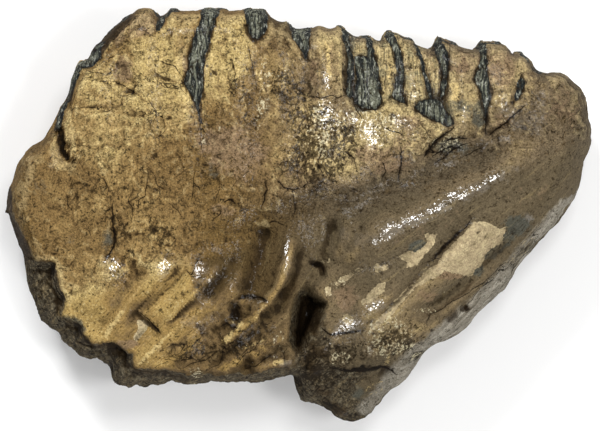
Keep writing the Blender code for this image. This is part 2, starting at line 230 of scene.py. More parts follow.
# Grooves between them, and the broad trough under the crown: line, half width, depth.
GROOVES = [
    ([(-50, -17.5), (-24, -9.5), (-3.5, -2.5), (19, 6.5), (38, 13), (57, 20.5), (72, 29), (88.5, 43)],
     8.5, 4.2),
    ([(-57.5, -17.5), (-61.5, -25), (-69.5, -35.5), (-76.5, -45)], 4.6, 2.1),
    ([(-42.5, -17.5), (-48, -24.5), (-54, -30.5), (-60, -35), (-66.5, -42.5)], 3.2, 2.6),
    ([(-23, -13), (-26.5, -20.5), (-31, -26.5), (-36, -31.5)], 3.6, 2.4),
    ([(-11.5, -1.5), (-14, -13), (-17.5, -23.5), (-22, -30.5)], 4.2, 4.2),
    ([(2.5, -7), (0.5, -17.5), (-2, -24.5), (-5.5, -31), (-14, -40)], 2.8, 2.8),
    ([(13.5, 2.5), (11.5, -7.5), (8.5, -16), (5, -22.5), (0.5, -32)], 3.4, 3.6),
    ([(25.5, -2.5), (20, -9.5), (17.5, -14)], 1.8, 0.9),
    ([(68, 3.5), (58.5, -7.5), (53, -13), (46, -20), (41, -26.5), (34, -34), (17.5, -47)], 2.4, 2.8),
    ([(83, -4), (75, -13), (68, -19), (62, -25), (53, -31), (41.5, -38.5)], 2.6, 3),
    ([(100.5, 9.5), (95, 1), (87.5, -10), (75.5, -22.5), (65, -32), (47.5, -43)], 1.8, 1.6),
    ([(17.5, -51.5), (36, -55.5), (49.5, -49)], 2.5, 1.4),
    ([(-20, -51.5), (-18.5, -55.5), (-20, -58.5)], 1.8, 2.6),
]  # fmt: skip
# Pits and holes: line, half width, depth.
HOLES = [
    ([(4.5, -17.5), (8, -19), (8.5, -22)], 1.2, 2.2),
    ([(3.5, -28), (1.5, -39.5), (0, -47)], 2.2, 5),
    ([(-23.5, -34.5), (-23, -38)], 1.7, 4.5),
    ([(-22, -31), (-18.5, -30), (-14, -31), (-11.5, -32.5)], 0.8, 1.6),
    ([(61, -35.5), (62, -34)], 1.6, 3),
    ([(56, -39.5), (58, -38.5)], 1.8, 2.6),
    ([(-90, 32), (-89, 27.5), (-87.5, 23), (-84, 20.5)], 1.6, 2),
    ([(-37, -62), (-35, -60)], 1.2, 1.5),
    ([(11.5, -47), (17.5, -51.5), (20, -55.5)], 1.5, 1.5),
]  # fmt: skip

# Closed plan shapes, each a place that is broken down by a step: corners, step, width of its slope.
BREAKS = {
    "chipped crown": ([(17.5, 70.5), (16.5, 58.5), (17, 44.5), (20, 41), (23.5, 38.5), (29, 38.5),
     (32.5, 41.5), (38.5, 40.5), (43, 38.5), (48, 35.5), (53, 32.5), (57.5, 33), (56.5, 38.5), (55, 43),
     (56.5, 57.5), (57.5, 66), (38, 73.5)], 1.8, 0.8),
    "broken root margin": ([(-112.5, -17.5), (-91.5, -19), (-90, -25), (-87, -32.5), (-88.5, -38),
     (-81.5, -41.5), (-81, -46), (-73.5, -49.5), (-68, -48.5), (-62.5, -51.5), (-62.5, -58),
     (-50.5, -58.5), (-44, -60.5), (-31.5, -62), (-16.5, -60), (-3.5, -58.5), (1, -69.5), (-20, -84.5),
     (-112.5, -84.5)], 9, 2.2),
    "foot of the lobe": ([(0.5, -59), (7, -57), (13, -57), (17.5, -58.5), (25, -58), (31, -56.5),
     (36.5, -58), (45.5, -53), (56, -49), (40, -85), (-4, -85), (-3, -62)], 8, 3.5),
    "cleft": ([(0.5, -31), (3.5, -29), (7, -31), (8.5, -33.5), (6.5, -37.5), (4.5, -41.5), (2.5, -45.5),
     (0, -49.5), (-1.5, -46), (-1.5, -38.5), (-0.5, -34)], 16, 2.8),
    "broken third flute": ([(-60, -36), (-56, -39.2), (-52, -43), (-52.8, -43.8), (-56.3, -40.9),
     (-59.8, -38)], 0.4, 0.4),
    "pocket at the blunt end": ([(-90, 32), (-87.5, 32), (-87, 28), (-85.5, 27), (-84.5, 24.5),
     (-85.5, 22), (-81, 19.5), (-84.5, 20.5), (-87.5, 19.5), (-89, 20.5), (-89.5, 26.5)], 2.4, 0.5),
    "plate on the third flute": ([(-43, -21), (-40, -22), (-35, -24.5), (-37, -28), (-41.5, -32.5),
     (-48, -38.5), (-51, -43), (-56, -40), (-60, -36), (-57, -32), (-52.5, -27), (-47.5, -23.5)], -0.6,
     0.3),
    "upper terrace of the crown": ([(-85.5, 40.5), (-83, 46), (-80.5, 51), (-76.5, 51), (-73.5, 49.5),
     (-70.5, 47), (-68, 45), (-64.5, 44), (-61.5, 44.5), (-59, 49), (-55.5, 51), (-52, 51), (-48.5, 49.5),
     (-44.5, 48), (-41.5, 44.5), (-39.5, 58.5), (-37, 81), (-41, 92), (-75, 92), (-93.5, 58.5)], 0.7, 0.4),
    "lower terrace of the crown": ([(-87.5, 37), (-84, 40), (-80, 40), (-76.5, 39.5), (-72.5, 39.5),
     (-68.5, 37.5), (-64.5, 37), (-60, 35.5), (-56, 37), (-51, 39), (-45.5, 40), (-41.5, 39), (-38.5, 33),
     (-38, 43), (-39.5, 58.5), (-37, 81), (-41, 92), (-75, 92), (-93.5, 58.5)], 0.55, 0.4),
    "shoulder flake": ([(-69, 53), (-67, 59.5), (-64, 59), (-63, 53), (-59.5, 49), (-60, 45), (-64.5, 45),
     (-68, 48)], 0.8, 0.3),
}  # fmt: skip

# Enamel bared on the cheek side, between the chewing edge and where the cement begins: closed shapes.
ENAMEL_BANDS = [
    [(-76, 61.5), (-73.5, 61.5), (-73.5, 58), (-76.5, 55), (-80, 54.5), (-82.5, 50), (-84.5, 45.5),
     (-86, 41), (-87.5, 36.5), (-88.5, 31.5), (-90.5, 31.5), (-89.5, 38.5), (-87.5, 44.5), (-85, 51.5),
     (-85.5, 56), (-82.5, 59), (-79.5, 60)],
    [(-48, 79.5), (-43, 79.5), (-44, 76.5), (-46.5, 75.5), (-49.5, 73), (-50.5, 70), (-52, 68),
     (-53.5, 67.5), (-53, 70.5), (-52, 73.5), (-50.5, 75.5)],
    [(-35.5, 79.5), (-36.5, 75.5), (-37, 71), (-38.5, 66.5), (-40, 62), (-41, 58.5), (-40.5, 54.5),
     (-42, 52), (-43, 49.5), (-41.5, 47.5), (-40, 44.5), (-38.5, 41.5), (-37, 35.5), (-36.5, 41),
     (-35.5, 45), (-35.5, 50), (-35.5, 54.5), (-34.5, 58.5), (-33.5, 62), (-32.5, 66), (-31.5, 69.5),
     (-30, 74), (-28.5, 79.5)],
    [(-21, 79.5), (-20.5, 75.5), (-19.5, 72.5), (-19, 67.5), (-17, 65), (-14.5, 65), (-12, 68),
     (-11.5, 73.5), (-11.5, 79.5)],
    [(-4.5, 75), (-3.5, 70.5), (-2.5, 66.5), (-1, 63.5), (1, 61), (2, 57.5), (3, 57.5), (3.5, 62),
     (4, 66), (4.5, 71), (5.5, 77)],
    [(15, 70.5), (16, 66.5), (17.5, 62), (18, 58.5), (18, 55.5), (17.5, 51.5), (17, 48), (17, 44.5),
     (19, 43), (20.5, 44.5), (20, 48.5), (20.5, 54), (20.5, 57.5), (19, 62), (18.5, 66.5), (19, 69.5)],
    [(21, 58.5), (23.5, 59), (25.5, 58.5), (27.5, 54), (29, 49.5), (30.5, 45.5), (31, 41), (28, 38.5),
     (23.5, 39), (20.5, 41.5), (20, 44.5), (21.5, 51)],
    [(24.5, 68), (25, 65), (25.5, 61.5), (26, 57.5), (27.5, 51.5), (29.5, 46), (31, 46), (29.5, 51),
     (29, 56), (28, 60.5), (27, 64.5), (26.5, 68)],
    [(31.5, 70.5), (32.5, 66.5), (34, 63), (35.5, 58.5), (36.5, 53), (35.5, 48), (34.5, 44), (37, 42),
     (40, 41), (38.5, 45.5), (39, 49.5), (39, 54.5), (38.5, 59), (37, 63.5), (35.5, 68), (35.5, 72)],
    [(41, 69), (42, 65), (43.5, 60.5), (45, 56), (46.5, 51), (47.5, 46), (48.5, 42.5), (49.5, 43),
     (49, 48), (47.5, 52.5), (46, 57), (44.5, 61.5), (43, 66), (42.5, 69)],
    [(49.5, 69), (49.5, 63), (51, 59), (52.5, 55.5), (53, 51), (52.5, 47), (52, 43), (54, 43), (55, 48),
     (55.5, 51.5), (56, 56), (55.5, 60), (53.5, 63.5), (52.5, 69)],
    [(42.5, 40), (45, 42.5), (48.5, 43.5), (52, 43.5), (53.5, 41.5), (54.5, 38.5), (56.5, 36.5), (58, 34),
     (55.5, 32.5), (52.5, 34), (48.5, 35), (45.5, 37), (43.5, 38.5)],
    [(67, 66.5), (67, 63), (67.5, 58.5), (67, 55.5), (65.5, 53.5), (65, 51), (66, 48.5), (67, 46.5),
     (67.5, 43.5), (68.5, 39.5), (69, 34), (70, 34), (70, 39), (71, 42), (71.5, 45), (71, 48), (70, 51),
     (69.5, 54.5), (70, 58), (70, 62), (69.5, 66)],
    [(82.5, 51.5), (81, 49.5), (80.5, 45.5), (79.5, 42), (81.5, 43), (83, 46), (84, 49.5)],
    [(86, 63.5), (87.5, 61), (89.5, 58.5), (92.5, 56), (94.5, 56), (91, 60), (88.5, 63)],
    [(-82, 55.5), (-80, 58.5), (-77.5, 62), (-74.5, 64.5), (-72, 64.5), (-73, 61.5), (-75.5, 58.5),
     (-78.5, 56), (-80, 54)],
]  # fmt: skip
# How far each band stands proud of the cement, and how deep the gap round it is.
BAND_PROUD = 0.5
BAND_GAP = 1.1

# Dentine laid bare where the cement has flaked off the flutes: closed shapes.
BARE_PATCHES = [
    [(64.5, -2.5), (70, -3), (74.5, -5), (77.5, -4.5), (76, -8), (75.5, -11), (72, -12), (69, -15.5),
     (67.5, -18.5), (65, -20.5), (64.5, -22.5), (62.5, -23), (60.5, -22), (54, -21), (50, -23.5),
     (46.5, -25.5), (42.5, -27.5), (40, -30.5), (37, -33.5), (34.5, -37.5), (30.5, -40.5), (26.5, -43),
     (26, -42), (29, -39.5), (32.5, -35), (37, -30.5), (40.5, -27), (45.5, -23), (46.5, -20), (51, -18),
     (53.5, -14.5), (57.5, -10.5), (61, -6.5)],
    [(46.5, -7), (51, -7), (50, -10), (49, -12.5), (46, -15.5), (43.5, -19), (39.5, -20), (40, -17.5),
     (37, -15.5), (39, -13.5), (41.5, -13), (43, -14), (45, -13), (47, -10.5), (47, -8.5)],
    [(27.5, -20), (28.5, -18), (32.5, -17.5), (33, -20), (30.5, -21.5), (28.5, -21)],
    [(32, -25), (31.5, -28), (28, -31.5), (23.5, -33.5), (23, -32.5), (26, -28.5), (29, -26)],
    [(9.5, -27), (12, -26.5), (11.5, -29.5), (10, -30.5)],
    [(13, -25.5), (15.5, -23.5), (18, -22), (20.5, -20.5), (23.5, -19), (23.5, -20.5), (20.5, -22),
     (19.5, -23.5), (16.5, -25), (14.5, -26.5)],
    [(15.5, -38), (18, -37), (20.5, -38), (20, -40), (17.5, -41.5)],
    [(7, -17.5), (9.5, -16.5), (12, -16.5), (11.5, -17.5), (9, -18)],
    [(-60, -38.5), (-57, -39), (-55.5, -40.5), (-57, -43), (-58.5, -45), (-60, -47), (-61.5, -46),
     (-60, -43), (-59.5, -41)],
]  # fmt: skip
# How much lower a bare patch lies than the cement about it.
BARE_DEPTH = 0.5

# Cracks in the cement: line and half the crack's width. Their effect ends at the reach, and the place from
# side to side of a crack is measured in its own half widths up to the limit, which means far from any.
CRACK_REACH = 8.0
CRACK_SIDE_LIMIT = 9.0
CRACKS = [
    ([(-55.5, 77.5), (-61.5, 75.5), (-67, 71.5), (-72, 66), (-75.5, 60)], 0.19),
    ([(-54, 76.5), (-60, 73.5), (-65, 69), (-69.5, 64.5)], 0.12),
    ([(-93, 34), (-95.5, 29.5), (-99, 25)], 0.12),
    ([(-89.5, 32.5), (-88.5, 27.5), (-87.5, 23.5), (-85.5, 21), (-82.5, 19)], 0.62),
    ([(-85.5, 40), (-82.5, 39.5), (-76.5, 40), (-70.5, 40)], 0.12),
    ([(-52.5, 48.5), (-48.5, 47.5), (-45.5, 47), (-42.5, 46)], 0.12),
    ([(-63.5, 39.5), (-61, 38), (-54, 38.5), (-50.5, 35.5), (-49.5, 33.5)], 0.1),
    ([(-78, 49.5), (-73.5, 50.5), (-70.5, 48.5), (-67, 49.5)], 0.09),
    ([(-37, 40), (-37, 34), (-36, 27), (-35.5, 21.5)], 0.14),
    ([(-34, 38.5), (-36, 32.5), (-33, 28)], 0.09),
    ([(-19, 63), (-17.5, 58.5), (-16.5, 51.5), (-16, 44.5)], 0.14),
    ([(-12.5, 12), (-11.5, 9.5), (-12.5, 6.5), (-14, 2.5)], 0.3),
    ([(-8, 13), (-5.5, 10), (-1.5, 9.5), (1.5, 10.5), (4, 12.5)], 0.24),
    ([(-2.5, 8.5), (-2, 5), (-1, 2), (-2.5, -0.5)], 0.24),
    ([(-28, 4.5), (-25.5, 5.5), (-23, 3.5)], 0.25),
    ([(-32.5, -2.5), (-30, 0), (-28.5, 2.5)], 0.2),
    ([(-11.5, -2), (-8.5, -2.5), (-6, -4)], 0.22),
    ([(-38, 19), (-39, 12.5), (-39.5, 5.5)], 0.15),
    ([(-31, 4), (-29.5, 9.5), (-30, 14.5)], 0.12),
    ([(-69, 5.5), (-69, -2.5), (-68, -9.5), (-70, -14), (-72, -17.5)], 0.34),
    ([(-59.5, 2), (-59.5, 5.5), (-57, 7), (-56, 11.5), (-55.5, 17)], 0.2),
    ([(37.5, 26), (38, 20.5), (37, 16), (37, 12)], 0.3),
    ([(31, 33.5), (34, 31.5), (37, 30.5), (39.5, 29.5)], 0.2),
    ([(58, 32.5), (53.5, 29.5), (49.5, 25.5), (46, 21)], 0.4),
    ([(64.5, 27.5), (58.5, 24.5), (54, 21.5), (50, 18.5)], 0.25),
    ([(69.5, 39.5), (69.5, 34), (70, 29.5)], 0.26),
    ([(70.5, 29.5), (74.5, 32.5), (79.5, 36.5), (84.5, 41)], 0.3),
    ([(52.5, 27), (57.5, 28), (62.5, 28.5)], 0.3),
    ([(-41.5, -20), (-40, -22.5), (-38.5, -19), (-37, -16)], 0.18),
    ([(-60, -35.5), (-56, -38.5), (-54, -41.5), (-51, -44)], 0.2),
    ([(-29, -41.5), (-26.5, -40), (-23, -41.5)], 0.3),
    ([(-22, -31), (-18.5, -30), (-14, -31), (-11.5, -32.5)], 0.3),
    ([(-102.5, -17.5), (-97.5, -18), (-91, -18.5), (-89, -26), (-87, -32.5)], 0.3),
    ([(-90, -38), (-85.5, -38.5), (-82.5, -40), (-81, -43.5)], 0.34),
    ([(-82.5, -47.5), (-74, -49.5), (-69, -48.5), (-65, -51), (-62, -52.5)], 0.75),
    ([(-63, -58.5), (-57, -58.5), (-50, -59), (-43, -61.5)], 0.42),
    ([(-50, -49.5), (-46, -47.5), (-42, -48), (-44, -51), (-49.5, -52.5)], 0.16),
    ([(-50.5, -53), (-44.5, -54.5), (-38.5, -53.5)], 0.14),
    ([(-19, -60), (-14, -60), (-5.5, -58.5), (0.5, -57)], 0.4),
    ([(11.5, -56.5), (17.5, -58.5), (23.5, -57.5), (30.5, -57), (37, -58.5)], 0.55),
    ([(8.5, -41.5), (12, -44.5), (17.5, -44), (23.5, -43)], 0.4),
    ([(17.5, 44.5), (14.5, 43), (12, 44.5), (8.5, 43), (4.5, 44), (1, 42.5)], 0.16),
    ([(20, 41.5), (22, 38), (24, 35)], 0.2),
    ([(4.5, -17.5), (8, -19), (9, -22)], 0.4),
    ([(-29, -51.5), (-24, -49), (-17.5, -44.5)], 0.15),
    ([(90.5, -5), (81, -15.5), (72, -25), (63, -33)], 0.16),
    ([(77.5, -17.5), (68, -26.5), (57.5, -32.5), (47.5, -38)], 0.2),
    ([(47.5, -17.5), (51.5, -16), (54, -17.5)], 0.12),
    ([(64.5, -1), (59, -7), (53, -13), (48.5, -17.5)], 0.3),
    ([(49.5, 21.5), (53, 23.5), (57.5, 25), (61.5, 24)], 0.22),
    ([(47.5, 26), (50, 23.5), (53.5, 22)], 0.26),
    ([(68, 25), (64.5, 23.5), (60.5, 21.5)], 0.18),
    ([(-77, 39.5), (-71, 38.5), (-67.5, 35.5)], 0.12),
    ([(-81.5, 55.5), (-77, 53), (-71, 52), (-67.5, 54)], 0.12),
    ([(-77, 50), (-68.5, 49.5), (-63.5, 47), (-60, 45)], 0.14),
    ([(-59, 50), (-51, 49), (-41.5, 48)], 0.16),
    ([(-60, 73.5), (-59, 69), (-53, 65.5)], 0.11),
    ([(-53, 57), (-46, 55), (-42.5, 49)], 0.15),
    ([(-69.5, 46.5), (-69, 40.5)], 0.09),
    ([(-51, 39.5), (-49.5, 31), (-53, 28.5)], 0.11),
    ([(-36.5, 41.5), (-36.5, 29.5), (-35.5, 24)], 0.11),
    ([(-75.5, 58.5), (-70.5, 57.5), (-66.5, 60)], 0.09),
    ([(-86, 24.5), (-81, 26), (-76.5, 24.5)], 0.12),
    ([(-56, 43), (-53, 38.5), (-54, 33.5)], 0.09),
    ([(-25, 58.5), (-23.5, 52.5), (-26, 46)], 0.14),
    ([(15.5, 24.5), (20, 21.5), (22, 17)], 0.16),
    ([(30.5, 20.5), (32, 16), (30.5, 11.5)], 0.14),
    ([(8.5, 24.5), (7, 19), (9.5, 14)], 0.2),
    ([(0.5, 24.5), (-1, 17.5), (0.5, 11.5)], 0.16),
    ([(-31, -51.5), (-34.5, -54), (-38.5, -54.5), (-42.5, -57)], 0.14),
    ([(-25, -49), (-28, -51.5), (-30, -55), (-33.5, -57)], 0.16),
    ([(-17.5, -50), (-21, -52.5), (-23.5, -56.5)], 0.14),
    ([(-14, -45), (-15.5, -49), (-18.5, -51.5)], 0.12),
    ([(-35.5, -44), (-38.5, -47.5), (-41.5, -49.5)], 0.13),
    ([(-8.5, -51.5), (-12.5, -53), (-16, -56), (-20, -57)], 0.16),
    ([(-4, -49), (-5.5, -51.5), (-5, -55.5)], 0.12),
    ([(-22, -45.5), (-26, -47.5), (-29, -51)], 0.12),
    ([(-46, -51.5), (-49.5, -54.5), (-52.5, -56)], 0.12),
    ([(-38, -51), (-40, -53), (-44.5, -53)], 0.12),
    ([(-87.5, 9.5), (-85.5, 7), (-86, 4), (-83.5, 1)], 0.14),
    ([(-75, 15), (-72, 13), (-70.5, 9.5), (-71.5, 6.5)], 0.13),
    ([(-61.5, 9.5), (-63, 5.5), (-61, 2.5), (-62, -1.5)], 0.15),
    ([(-68, 0), (-66, -2.5), (-67, -5.5)], 0.12),
    ([(-80.5, -4), (-78, -5.5), (-76.5, -8.5)], 0.12),
    ([(-56, 17), (-53.5, 14.5), (-52.5, 11), (-49.5, 9.5)], 0.13),
    ([(-48, 4), (-44.5, 2), (-43, -1.5)], 0.14),
    ([(-85.5, 40.5), (-83, 46), (-80.5, 51), (-76.5, 51), (-73.5, 49.5)], 0.09),
    ([(-68, 45), (-64.5, 44), (-61.5, 44.5), (-59, 49), (-55.5, 51)], 0.1),
    ([(-52, 51), (-48.5, 49.5), (-44.5, 48), (-41.5, 44.5)], 0.09),
    ([(-80, 40), (-76.5, 39.5), (-72.5, 39.5), (-68.5, 37.5)], 0.07),
    ([(-60, 35.5), (-56, 37), (-51, 39), (-45.5, 40)], 0.07),
]  # fmt: skip

# Where the surface is crumbly and stands out in grains: closed shapes, and the height of the grains.
CRUMBLY = [
    ([(-35.5, -32), (-22, -30), (-11, -32), (-5.5, -32), (-2.5, -43), (-3.5, -60.5), (-37, -60.5),
     (-48.5, -59), (-44.5, -51), (-38.5, -43)], 0.9),
    ([(-1, -47), (11.5, -45.5), (19, -45), (23, -40), (34, -36.5), (45.5, -38), (53, -41.5), (51.5, -49),
     (42.5, -55.5), (35, -57), (23, -58.5), (11.5, -63), (0.5, -63.5), (-1, -54.5)], 0.85),
    ([(-2, 43), (14, 43), (20, 38), (30, 40), (46, 38), (56, 34), (62, 28), (50, 24), (30, 20), (6, 8),
     (-4, 22)], 0.45),
    ([(-110, -16), (-91, -19), (-87, -34), (-80, -46), (-62, -51), (-60, -59), (-40, -61), (-48, -72),
     (-110, -60)], 0.9),
    ([(-36, 43), (-10, 46), (-2, 30), (4, 5), (-20, -2), (-44, 4), (-60, 14), (-56, 28)], 0.12),
]  # fmt: skip

# Hollows left by the pulp along the broken root edge: middle along X, half width, depth.
PULP_HOLLOWS = [
    (-74, 4, 2.5), (-54, 6, 4), (-36, 5, 3), (-17, 6, 4), (33, 4, 2.6), (49, 5, 3), (68, 5, 2.5),
]  # fmt: skip
PULP_HALF_HEIGHT = 11.0

# The cheek side is a dome: its middle in plan, its half lengths along X and Y, and how far it falls over
# each. It falls further towards the front root, and a faint rib runs down it above each plate.
DOME_MIDDLE = (-15, 15)
DOME_HALF = (110, 80)
DOME_FALL = (10, 7)
ROOT_FALL = 11
RIB_HEIGHT = 0.5
RIB_PITCH = 16.9
RIB_START = -41

# The side that it lies on: how hollow it is along the middle, and the half width of that hollow, how far it
# rises towards both edges and both ends, how much of the relief and of the cleft it shows, and how much of
# it is flattened where it rests.
BACK_HOLLOW = 2.6
BACK_HOLLOW_HALF = 42
BACK_EDGE_RISE = 7
BACK_END_RISE = 9
BACK_RELIEF = 0.35
BACK_CLEFT = 0.5
REST_FLAT = 1.3


def ridge(x, y, line, half_width, height):
    """A rounded ridge along a line: height times e to the minus square of distance over half width."""
    off, along, _ = distance(x, y, smooth_line(line), 4 * half_width)
    return height * np.exp(-((off / half_width) ** 2)) * ramp(0, 0.2, along) * ramp(1, 0.8, along)


def pit(x, y, line, half_width, depth):
    """As a ridge, but at full depth up to its ends."""
    off = distance(x, y, line, 4 * half_width)[0]
    return depth * np.exp(-((off / half_width) ** 2))


def relief(x, y):
    """Flutes less grooves: the roots' forms, which both sides of the tooth show."""
    ridges = sum(ridge(x, y, *flute) for flute in FLUTES)
    return ridges - sum(ridge(x, y, *groove) for groove in GROOVES)


def deepest_inside(x, y, shapes, reach):
    """Distance inside the shape that a plan point is deepest in, negative outside them all."""
    return np.max([depth_inside(x, y, corners, reach) for corners in shapes], axis=0)


def bared_enamel(x, y):
    """Distance inside the nearest band of bared enamel on the cheek side, negative outside."""
    return deepest_inside(x, y, ENAMEL_BANDS, 6)


def cracks(x, y, waver):
    """Distance from the nearest crack, the same by its side over its half width there, and that half width.

    A crack's half width rises from nothing at its ends as the root of the share along it, and wavers.
    """
    near = np.full(x.shape, CRACK_REACH)
    signed = np.full(x.shape, CRACK_SIDE_LIMIT)
    open_half = np.zeros(x.shape)
    for line, half in CRACKS:
        off, along, side = distance(x, y, line, CRACK_REACH)
        width = half * (0.12 + np.sqrt(np.clip(4 * along * (1 - along), 0, 1))) * (1 + 0.8 * waver)
        signed = np.where(off < near, side * off / np.maximum(width, 0.05), signed)
        open_half = np.where(off < near, width, open_half)
        near = np.minimum(near, off)
    return near, np.clip(signed, -CRACK_SIDE_LIMIT, CRACK_SIDE_LIMIT), open_half


def wear_loops(x, z):
    """Distance from the nearest enamel loop's wall on the chewing surface, in a plate's own section.

    Each plate shows as a flattened ring across the tooth, whose long sides waver by two sines.
    """
    across = np.abs(z - 0.5 * CROWN_TOP + 1.5)
    near = np.full(x.shape, np.inf)
    for middle, half in PLATES:
        wavy = x - middle
        for size, length, turn in LOOP_WAVES:
            wavy = wavy - size * np.sin(z / length + turn * middle)
        overrun = np.maximum(across - LOOP_HALF_LENGTH + half, 0)
        near = np.minimum(near, np.abs(np.hypot(wavy, overrun) - half + ENAMEL_HALF))
    return near


def pulp(x, z):
    """Depth of the pulp hollows at the root edge: a round dip for each."""
    high = np.exp(-(((z - GIRTH_HEIGHT + 2) / PULP_HALF_HEIGHT) ** 2))
    dips = [depth * high * np.exp(-(((x - middle) / half) ** 2)) for middle, half, depth in PULP_HOLLOWS]
    return sum(dips)


def cheek_side(x, y):
    """Height of the upper side over each plan point.

    A dome with the crown's ribs and the roots' relief, less the steps down at breaks, holes and patches.
    """
    end_share, edge_share = (x - DOME_MIDDLE[0]) / DOME_HALF[0], (y - DOME_MIDDLE[1]) / DOME_HALF[1]
    dome = CROWN_TOP - DOME_FALL[0] * end_share**2 - DOME_FALL[1] * edge_share**2
    dome -= ROOT_FALL * ramp(35, 80, rootward(x, y))
    ribs = RIB_HEIGHT * np.cos(2 * np.pi * (x - RIB_START) / RIB_PITCH)
    ribs = ribs * ramp(-12, 25, y) * ramp(-95, -70, x)
    steps = sum(
        step * ramp(-slope, slope, depth_inside(x, y, corners)) for corners, step, slope in BREAKS.values()
    )
    band = bared_enamel(x, y)
    steps += BAND_GAP * np.exp(-(((band + 0.2) / 0.8) ** 2)) - BAND_PROUD * ramp(0.4, 1.8, band)
    steps += sum(pit(x, y, *hole) for hole in HOLES)
    steps += BARE_DEPTH * ramp(-0.3, 0.3, deepest_inside(x, y, BARE_PATCHES, 6))
    return dome + ribs + relief(x, y) - steps


def far_side(x, y):
    """Height of the side it lies on: hollow along the middle, as the molar curves, and up at both ends."""
    hollow = BACK_HOLLOW * np.exp(-((x / BACK_HOLLOW_HALF) ** 2))
    rise = BACK_EDGE_RISE * ((y - 2) / 75) ** 2 + BACK_END_RISE * ramp(70, 112, np.abs(x))
    corners, step, slope = BREAKS["cleft"]
    cleft = BACK_CLEFT * step * ramp(-slope, slope, depth_inside(x, y, corners))
    return hollow + rise + cleft - BACK_RELIEF * relief(x, y) - REST_FLAT


# ----------------------------------------------------------------------------------------------------
# The tooth's skin.
# Stations are slices across the tooth, closer together at its two ends, and each slice is cut into
# points that lie closer on the cheek side. The skin is then roughened along its own normals.
# ----------------------------------------------------------------------------------------------------

# How many slices and points to a slice, the share of the slices at each end that lie closer together, and
# how densely the points lie away from the cheek side.
STATIONS = 301
SLICE_POINTS = 324
END_SHARE = 0.07
UNSEEN_WEIGHT = 0.55
# The two ends of the outline, where the slices shrink to a point: their places along Y.
BLUNT_END_Y = 2.5
NARROW_END_Y = 28.0

chewing_line = smooth_line(CHEWING_EDGE, 3)
root_line = smooth_line(ROOT_EDGE, 3)
outline = np.vstack([chewing_line, root_line[-2:0:-1]])


def slice_place(station):
    """X of a station from 0 to 1: even along the middle, and as the square of the share at both ends."""
    bend = (LENGTH / 2) / (END_SHARE * (1 - END_SHARE))
    near = np.minimum(station, 1 - station)
    inset = np.where(near < END_SHARE, bend * near**2, bend * END_SHARE * (2 * near - END_SHARE))
    return np.where(station < 0.5, inset - LENGTH / 2, LENGTH / 2 - inset)


def plan_point(station, turn):
    """Plan place for a station and a turn about the X axis: turn 0 is the chewing edge, pi the roots.

    It also gives the slice's breadth, and how far the point faces the chewing edge, from -1 to 1.
    """
    x = slice_place(station)
    high = np.interp(x, *chewing_line.T)
    low = np.interp(x, *root_line.T)
    eased = turn - 0.3 * np.sin(2 * turn)
    return x, (high + low) / 2 + (high - low) / 2 * np.cos(eased), high - low, np.cos(eased)


def form(station, turn, plain=False):
    """The skin's millimetre points before it is roughened.

    The upper and the lower side each run from the girth to their own height, by how full the rim is. The
    chewing wall is then worn back between the enamel loops, and the root edge hollowed at the pulp.
    """
    x, y, span, facing = plan_point(station, turn)
    full = rounding(x, y, distance(x, y, outline, 30)[0])
    upper_height = CROWN_TOP - 4 if plain else cheek_side(x, y)
    lower_height = 2.0 if plain else far_side(x, y)
    upper = GIRTH_HEIGHT + (upper_height - GIRTH_HEIGHT) * full
    lower = GIRTH_HEIGHT - (GIRTH_HEIGHT - lower_height) * full
    z = np.where(np.sin(turn) >= 0, upper, lower)
    if plain:
        return x, y, z
    chewing = ramp(0.93, 0.99, facing) * ramp(0, 6, span) * ramp(20, 50, y)
    worn = WEAR_DEPTH * ramp(ENAMEL_HALF, ENAMEL_HALF + 1.2, wear_loops(x, z))
    between_rims = ramp(3, 12, z) * ramp(58, 48, z)
    inward = chewing * between_rims * worn
    root_wall = ramp(0.8, 0.97, -facing) * ramp(0, 30, span)
    inward -= root_wall * pulp(x, z)
    return x, y - inward, z


def even_turns(station):
    """Turns that cut each slice into evenly spaced points, wider apart away from the cheek side.

    The slice's length is summed over fine steps, each weighted by which side it is on, and read backwards.
    """
    fine = np.linspace(0, 2 * np.pi, 721)
    grid_station, grid_turn = np.meshgrid(station, fine, indexing="ij")
    plain_form = form(grid_station.ravel(), grid_turn.ravel(), plain=True)
    x, y, z = (a.reshape(grid_turn.shape) for a in plain_form)
    step = np.hypot(np.diff(y, axis=1), np.diff(z, axis=1)) + 1e-6
    middle = (fine[1:] + fine[:-1]) / 2
    flat = np.abs(np.diff(z, axis=1)) < 0.7 * step
    seen = (np.sin(middle)[None, :] > 0) & flat
    run = np.cumsum(step * np.where(seen, 1.0, UNSEEN_WEIGHT), axis=1)
    run = np.hstack([np.zeros((len(station), 1)), run])
    share = np.linspace(0, 1, SLICE_POINTS, endpoint=False)
    return np.array([np.interp(share * row[-1], row, fine) for row in run])


stations = np.linspace(0, 1, STATIONS)[1:-1]
turns = even_turns(stations)
grid_station = np.repeat(stations, SLICE_POINTS)
x, y, z = form(grid_station, turns.ravel())
ends = [(-LENGTH / 2, BLUNT_END_Y, GIRTH_HEIGHT), (LENGTH / 2, NARROW_END_Y, GIRTH_HEIGHT)]
skin = np.vstack([np.column_stack([x, y, z]), ends])
upper_side = np.append(np.sin(turns.ravel()) >= 0, [True, True])


def outward(points):
    """Unit normals of the grid: the cross product of its two central differences; the ends face out."""
    ring = points[:-2].reshape(len(stations), SLICE_POINTS, 3)
    along = np.gradient(ring, axis=0)
    around = np.roll(ring, -1, axis=1) - np.roll(ring, 1, axis=1)
    normal = np.cross(around, along).reshape(-1, 3)
    normal /= np.linalg.norm(normal, axis=1)[:, None] + 1e-12
    return np.vstack([normal, (-1, 0, 0), (1, 0, 0)])


normal = outward(skin)


